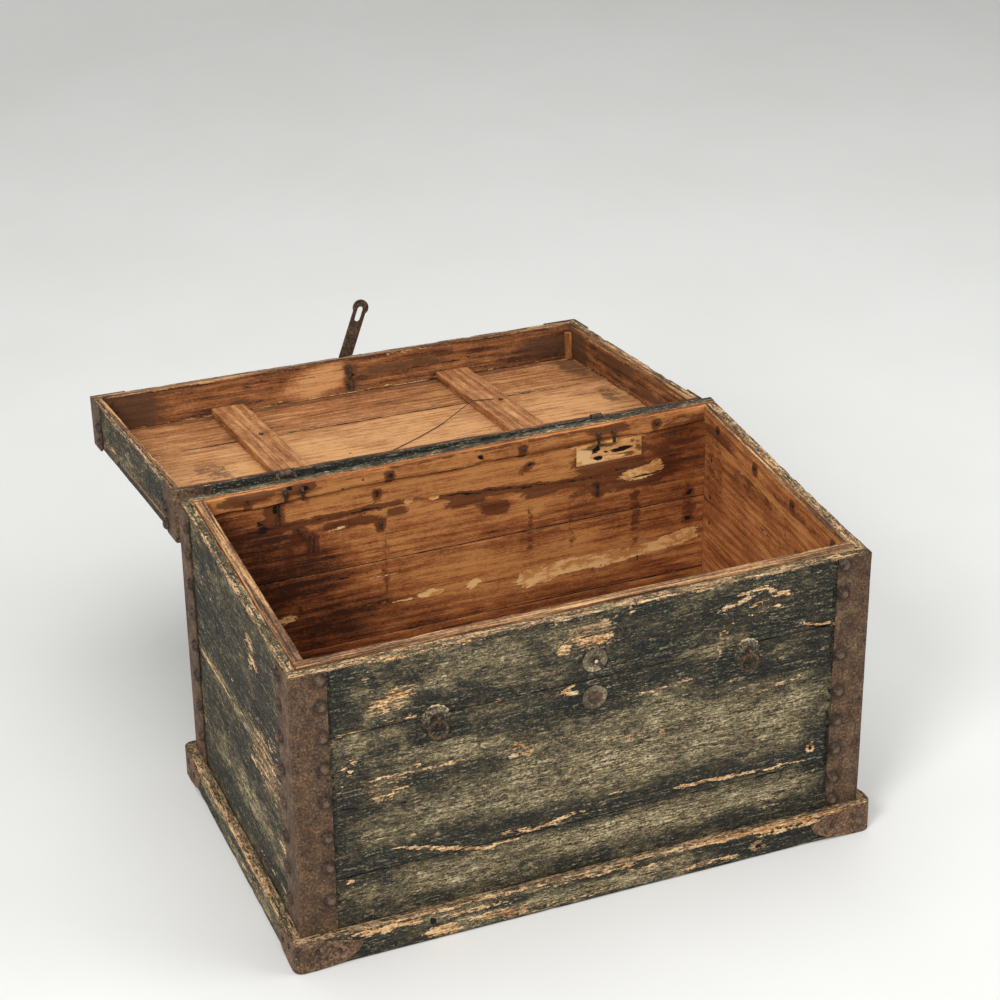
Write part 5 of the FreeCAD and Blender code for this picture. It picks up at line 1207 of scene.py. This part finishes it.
# %% Studs
def put_in_order(mesh):
    """Number the points by their place and the faces by their points. The first corner of a triangle or
    a quad stays, as a quad is split from it, and only the base gets a fixed one."""
    place = points_of(mesh)
    order = np.lexsort(np.round(place.T, 4))
    number = np.argsort(order)
    faces = []
    for face in mesh.polygons:
        corners = number[list(face.vertices)].tolist()
        first = corners.index(min(corners)) if len(corners) > 4 else 0
        faces.append(corners[first:] + corners[:first])
    mesh.clear_geometry()
    mesh.from_pydata(place[order].tolist(), [], sorted(faces))


def model_stud():
    bpy.ops.object.select_all(action="DESELECT")
    bpy.ops.mesh.primitive_uv_sphere_add(segments=18, ring_count=10, radius=1)
    piece = bpy.context.object
    bpy.ops.object.mode_set(mode="EDIT")
    bpy.ops.mesh.select_all(action="SELECT")
    bpy.ops.mesh.bisect(plane_co=(0, 0, 0.02), plane_no=(0, 0, 1), clear_inner=True, use_fill=True)
    bpy.ops.object.mode_set(mode="OBJECT")
    put_in_order(piece.data)
    place = points_of(piece.data)
    skirt = place[:, 2] < 0.05
    place[:, 2] = np.where(skirt, 0, place[:, 2] ** 0.9)
    place[:, :2] *= np.where(skirt, 1.0, 0.95)[:, None]
    move_points(piece.data, place)
    piece.data.update()
    return piece


stud_master = model_stud()
FACES = {"front": (Vector((0, -1, 0)), 1), "back": (Vector((0, 1, 0)), 1),
         "left": (Vector((-1, 0, 0)), 0), "right": (Vector((1, 0, 0)), 0)}
STUD_RADIUS = 7.9


def copy_stud(base, part, planes, number, dice, seed):
    """One stud on the iron that it is driven through. part is the CAD stud's points."""
    low, high = part.min(axis=0), part.max(axis=0)
    for face, plane in planes.items():
        outward, axis = FACES[face]
        proud = (high[axis] - plane) if outward[axis] > 0 else (plane - low[axis])
        if proud > 1.0:
            break
    copy = stud_master.copy()
    copy.data = stud_master.data.copy()
    bpy.context.scene.collection.objects.link(copy)
    size = STUD_RADIUS * dice.uniform(0.93, 1.0)
    spin = dice.uniform(0, math.tau)
    dents = soft_noise(base * 1.6 + number * 3.3, seed + number) * 0.06
    shape = base * (1 - np.abs(dents))[:, None]
    turned = shape[:, :2] @ np.array([[math.cos(spin), -math.sin(spin)], [math.sin(spin), math.cos(spin)]])
    shape = np.concatenate([turned * size, shape[:, 2:] * proud * 1.12], axis=1)
    turn = Vector((0, 0, 1)).rotation_difference(outward).to_matrix()
    at = Vector((low + high) / 2)
    at[axis] = plane
    lean = Matrix.Rotation(math.radians(dice.uniform(-4, 4)), 3, "X")
    move_points(copy.data, (shape @ np.array(turn @ lean).T + np.array(at)) * MM)
    copy.data.update()
    return copy


def join_pieces(name, pieces):
    bpy.ops.object.select_all(action="DESELECT")
    for piece in pieces:
        piece.select_set(True)
    bpy.context.view_layer.objects.active = pieces[0]
    bpy.ops.object.join()
    piece = bpy.context.object
    piece.name = piece.data.name = name
    return piece


def set_studs(name, parts, planes, body, node, place=None, seed=1):
    """planes: for each face the coordinate of the iron's outer side."""
    dice = random.Random(seed)
    base = points_of(stud_master.data)
    copies = [copy_stud(base, part, planes, number, dice, seed) for number, part in enumerate(parts)]
    piece = join_pieces(name, copies)
    # dome tops lightened, partly as rubbed iron and partly as a painted highlight
    paint_points(piece.data, "rim", np.tile(np.clip(base[:, 2] - 0.28, 0, 1), len(copies)))
    bpy.ops.object.shade_smooth_by_angle(angle=math.radians(60))
    piece.data.materials.append(FORGED)
    hang(piece, body, "forged_iron", node, place=place)


set_studs("box_stud_heads", loose_parts("box_studs"),
          {"front": -IRON_Y, "back": IRON_Y, "left": -IRON_X, "right": IRON_X}, "box", "box_studs", seed=4)
set_studs("lid_stud_heads", loose_parts("lid_studs", LID_BACK),
          {"front": LID_IRON_FRONT, "back": LID_IRON_BACK, "left": -IRON_X, "right": IRON_X},
          "lid", "lid_studs", place=LID, seed=6)
bpy.data.objects.remove(stud_master)

# %% [markdown]
# Round fittings are turned, as on a lathe. A flat grid is wrapped round the
# axis: one side of the grid follows the profile, the other goes round. Where
# the profile meets the axis or the grid meets itself, its doubles are merged.

# %% Turned fittings
def turn_profile(name, profile, segments=48, scallops=0, bite=0.0, rough=0.0, seed=1):
    """profile: radius and height in mm, from one end to the other; axis Z."""
    rows = len(profile) - 1
    bpy.ops.object.select_all(action="DESELECT")
    bpy.ops.mesh.primitive_grid_add(x_subdivisions=segments, y_subdivisions=rows, size=1)
    piece = bpy.context.object
    piece.name = piece.data.name = name
    flat = points_of(piece.data)
    row = np.round((flat[:, 1] + 0.5) * rows).astype(int)
    angle = (flat[:, 0] + 0.5) * math.tau
    radius = np.array(profile)[row, 0]
    height = np.array(profile)[row, 1]
    widest = max(r for r, _ in profile)
    near_rim = np.clip((radius / widest - 0.6) / 0.4, 0, 1)
    if scallops:
        radius = radius * (1 - bite * near_rim * np.abs(np.sin(angle * scallops / 2)))
    ring = np.stack([np.cos(angle) * 2.2, np.sin(angle) * 2.2, radius * 0.08 + seed], 1)
    radius = radius * (1 + rough * near_rim * soft_noise(ring, seed))
    height = height * (1 + 2 * rough * soft_noise(ring * 1.3, seed + 1))
    place = np.stack([radius * np.cos(angle), radius * np.sin(angle), height], 1)
    move_points(piece.data, place * MM)
    paint_points(piece.data, "rim", near_rim * 0.62)
    only(piece)
    bpy.ops.object.mode_set(mode="EDIT")
    bpy.ops.mesh.select_all(action="SELECT")
    bpy.ops.mesh.remove_doubles(threshold=0.00001)
    bpy.ops.mesh.normals_make_consistent(inside=False)
    bpy.ops.object.mode_set(mode="OBJECT")
    bpy.ops.object.shade_smooth_by_angle(angle=math.radians(45))
    return piece


FACE_FRONT = Matrix.Rotation(math.radians(90), 4, "X")


def set_front(piece, x, y, z, spin=0.0, material=FORGED):
    """Turn a fitting to face the front and put it at a place in mm."""
    piece.data.transform(Matrix.Translation(Vector((x, y, z)) * MM) @ FACE_FRONT
                         @ Matrix.Rotation(math.radians(spin), 4, "Z"))
    piece.data.update()
    piece.data.materials.append(material)
    return piece


# %% [markdown]
# Each pull ring hangs on an eye in a small plate with a scalloped rim, domed in
# the middle. A painted highlight lies on its upper rim, on the side toward the
# light; painted shade darkens its lower half, and the plate is darker toward the
# middle.

# %% Ring plates
WALL_FACE = -207.4
ROSE_RADIUS = 17
ROSE = [(0, 0), (8, 0), (13, 0), (16.8, 0), (17.0, 0.5), (16.4, 1.2), (14.6, 1.7), (12.2, 1.3), (10.6, 1.9),
        (8.4, 2.9), (5.6, 3.1), (3.4, 2.7), (0, 2.6)]
EYES = ((-184, 289.5), (194, 284))
LIGHT_FROM = (0.45, 0.89)
roses = []
for number, (eye_x, eye_z) in enumerate(EYES):
    rose = turn_profile(f"rose_{number}", ROSE, 72, 14, 0.09, 0.02, 3 + number)
    set_front(rose, eye_x, WALL_FACE, eye_z, 9 * number, ROSE_IRON)
    spot = (points_of(rose.data) / MM)[:, (0, 2)] - (eye_x, eye_z)
    out_to = np.linalg.norm(spot, axis=1) / ROSE_RADIUS
    # painted highlight on the upper rim, on the side toward the light
    upper = np.clip((spot @ LIGHT_FROM) / ROSE_RADIUS - 0.30, 0, 1) * 3
    paint_points(rose.data, "rim", upper * np.clip(out_to * 9 - 7.6, 0, 1))
    # painted shade over the lower half; the plate is also darker toward the middle
    dark = np.clip(1.1 - out_to * 1.3, 0, 1) + np.clip(-spot[:, 1] / ROSE_RADIUS - 0.2, 0, 0.6)
    paint_points(rose.data, "shade", np.clip(dark, 0, 1))
    roses.append(rose)
hang(join_pieces("ring_rose_plates", roses), "box", "forged_iron", "ring_plates")

# %% [markdown]
# Two dished washers mark the old lock. The lower one is darker. Painted shade
# darkens each washer round its hub. The lock pin shows as a bright worn tip in
# the middle of the upper one.

# %% Washers
LOCK_X, WASHER_HEIGHTS = 5.5, (317, 268.5)
WASHER_PROFILE = [(2.8, 0.3), (8, 0.1), (14.4, 0), (15.0, 0.7), (14.4, 1.6), (12.2, 1.9), (9.4, 1.2),
                  (6.0, 0.9), (4.2, 1.1), (2.8, 0.9), (2.8, 0.3)]
TIP_PROFILE = [(0, -1), (2.1, -1), (2.2, 0.6), (1.5, 1.4), (0, 1.6)]
washers = []
for number, height in enumerate(WASHER_HEIGHTS):
    washer = turn_profile(f"washer_{number}", WASHER_PROFILE, 48, 0, 0, 0.035, 8 + number)
    out_to = np.linalg.norm(points_of(washer.data)[:, :2], axis=1) / MM
    # painted shade in the recess round the hub
    hub = np.clip(1.25 - (out_to - 4.6) / 3.6, 0, 1)
    # Two layers come from the pieces. Rim lightens rubbed edges and also lays painted highlights on stud tops,
    # ring fronts and the plates' upper rims. Shade lays painted shade round studs, in washer hubs and over the
    # plates' lower halves; it also darkens the plates toward the middle and gives the lower washer its darker
    # colour.
    paint_points(washer.data, "rim", np.clip(1 - np.abs(out_to - 11) / 3.5, 0, 1) * (0.62 - 0.3 * number))
    paint_points(washer.data, "shade", np.maximum(hub, 0.62 * number))
    washers.append(set_front(washer, LOCK_X, WALL_FACE, height, 0, WASHER))
pin_front = node_box("lock_pin")[0].y
tip = turn_profile("pin_tip", TIP_PROFILE, 16, 0, 0, 0.03, 12)
set_front(tip, LOCK_X, pin_front + 0.5, WASHER_HEIGHTS[0], 0, WASHER)
paint_points(tip.data, "rim", np.ones(len(tip.data.vertices)))
washers.append(tip)
hang(join_pieces("lock_washers", washers), "box", "pale_washer", "front_washers")

# %% [markdown]
# The pull rings are closed rings of bent rod, a little out of round, lighter on
# the face that stands out furthest, partly by wear and partly as a painted highlight.

# %% Pull rings
RING_RADIUS, ROD_SHARE = 10.45, 0.1792
for side in ("left", "right"):
    low, high = node_box(f"ring_{side}")
    bpy.ops.object.select_all(action="DESELECT")
    bpy.ops.mesh.primitive_torus_add(major_segments=56, minor_segments=14, major_radius=1,
                                     minor_radius=ROD_SHARE)
    ring = bpy.context.object
    ring.name = ring.data.name = f"pull_ring_{side}"
    place = points_of(ring.data)
    place *= (1 + soft_noise(place * 2.6, 15) * 0.02)[:, None]
    move_points(ring.data, place * RING_RADIUS * MM)
    bpy.ops.object.shade_smooth()
    # the front face is lightened, partly as wear and partly as a painted highlight
    paint_points(ring.data, "rim", np.clip(0.12 + place[:, 2] * 1.1, 0, 1))
    set_front(ring, *((low + high) / 2), material=STRAP)
    hang(ring, f"ring_{side}", "forged_iron", f"ring_{side}")
print("fittings done,", len(made), "pieces")

# %% [markdown]
# The small bent parts came out of the CAD model in their real shape, so they
# stay and get their finish.

# %% Finishes of the parts that stay
KEPT = {
    FORGED: ("cut_nails", "clenched_nails", "ring_eyes", "lock_pin", "dome_nail", "hinge_staples",
             "hinge_leaves", "lid_nails", "hasp", "hasp_pin"),
    WIRE: ("lid_wire",),
}
for material, names in KEPT.items():
    for name in names:
        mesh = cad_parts[name].data
        mesh.materials.clear()
        mesh.materials.append(material)
replaced = {n for p in made for n in p.get("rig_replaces", [])}
print("nodes with no dress", sorted(set(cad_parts) - replaced - {n for g in KEPT.values() for n in g}))

# %% [markdown]
# The studio is a pale floor that turns up into a pale wall behind the chest, so
# there is no hard line. It starts as one plane. Its rear edge is pulled up, and
# the bend between floor and wall is bevelled into a wide curve.

# %% Floor and backdrop
def plain_material(name, colour):
    material, bench, inputs = start_material(name, 0.9)
    place = bench.node("ShaderNodeTexCoord").outputs["Object"]
    shade = bench.noise(place, 3.0, 3.0, 0.5)
    bench.feed(inputs["Base Color"], bench.mix(shade, colour, seen(236, 236, 234)))
    return material


bpy.ops.object.select_all(action="DESELECT")
bpy.ops.mesh.primitive_plane_add(size=1, location=(0, -1.0, -0.0004))
floor = bpy.context.object
floor.name = "studio_floor"
floor.scale = (14, 12, 1)
bpy.ops.object.transform_apply(location=True, rotation=True, scale=True)
bpy.ops.object.mode_set(mode="EDIT")
bpy.ops.mesh.select_all(action="DESELECT")
bpy.ops.object.mode_set(mode="OBJECT")
for edge in floor.data.edges:
    edge.select = all(floor.data.vertices[v].co.y > 0 for v in edge.vertices)
bpy.ops.object.mode_set(mode="EDIT")
bpy.ops.mesh.select_mode(type="EDGE")
bpy.ops.mesh.extrude_region_move(TRANSFORM_OT_translate={"value": (0, 0, 6)})
bpy.ops.object.mode_set(mode="OBJECT")
floor.data.update()
for edge in floor.data.edges:
    ends = [floor.data.vertices[v].co for v in edge.vertices]
    edge.select = all(end.y > 4.9 and end.z < 0.1 for end in ends)
bpy.ops.object.mode_set(mode="EDIT")
bpy.ops.mesh.bevel(offset=2.0, segments=16, affect="EDGES")
bpy.ops.object.mode_set(mode="OBJECT")
bpy.ops.object.shade_smooth()
floor.data.materials.append(plain_material("studio_paper", seen(226, 226, 223)))


# %% [markdown]
# Daylight comes from two sides and the ceiling, as from large windows, so the
# lamps are wide discs and the shadows soft. The world fills the rest.

# %% Lamps and world
def soft_lamp(name, place, aim, size, power):
    bpy.ops.object.light_add(type="AREA", location=place)
    lamp = bpy.context.object
    lamp.name = name
    lamp.data.shape = "DISK"
    lamp.data.size = size
    lamp.data.energy = power
    lamp.rotation_euler = (Vector(aim) - Vector(place)).to_track_quat("-Z", "Y").to_euler()


soft_lamp("window_left", (-2.2, -2.0, 2.6), (0, 0.1, 0.2), 1.5, 84)
soft_lamp("window_right", (2.4, -1.2, 2.2), (0, 0.1, 0.2), 2.4, 40)
soft_lamp("ceiling", (0, 0.6, 3.2), (0, 0.2, 0), 3.0, 46)
world = bpy.data.worlds.new("studio")
bpy.context.scene.world = world
world.use_nodes = True
sky = world.node_tree.nodes["Background"]
sky.inputs["Color"].default_value = (1, 1, 1, 1)
sky.inputs["Strength"].default_value = 0.34
bpy.context.scene.view_settings.view_transform = "Standard"
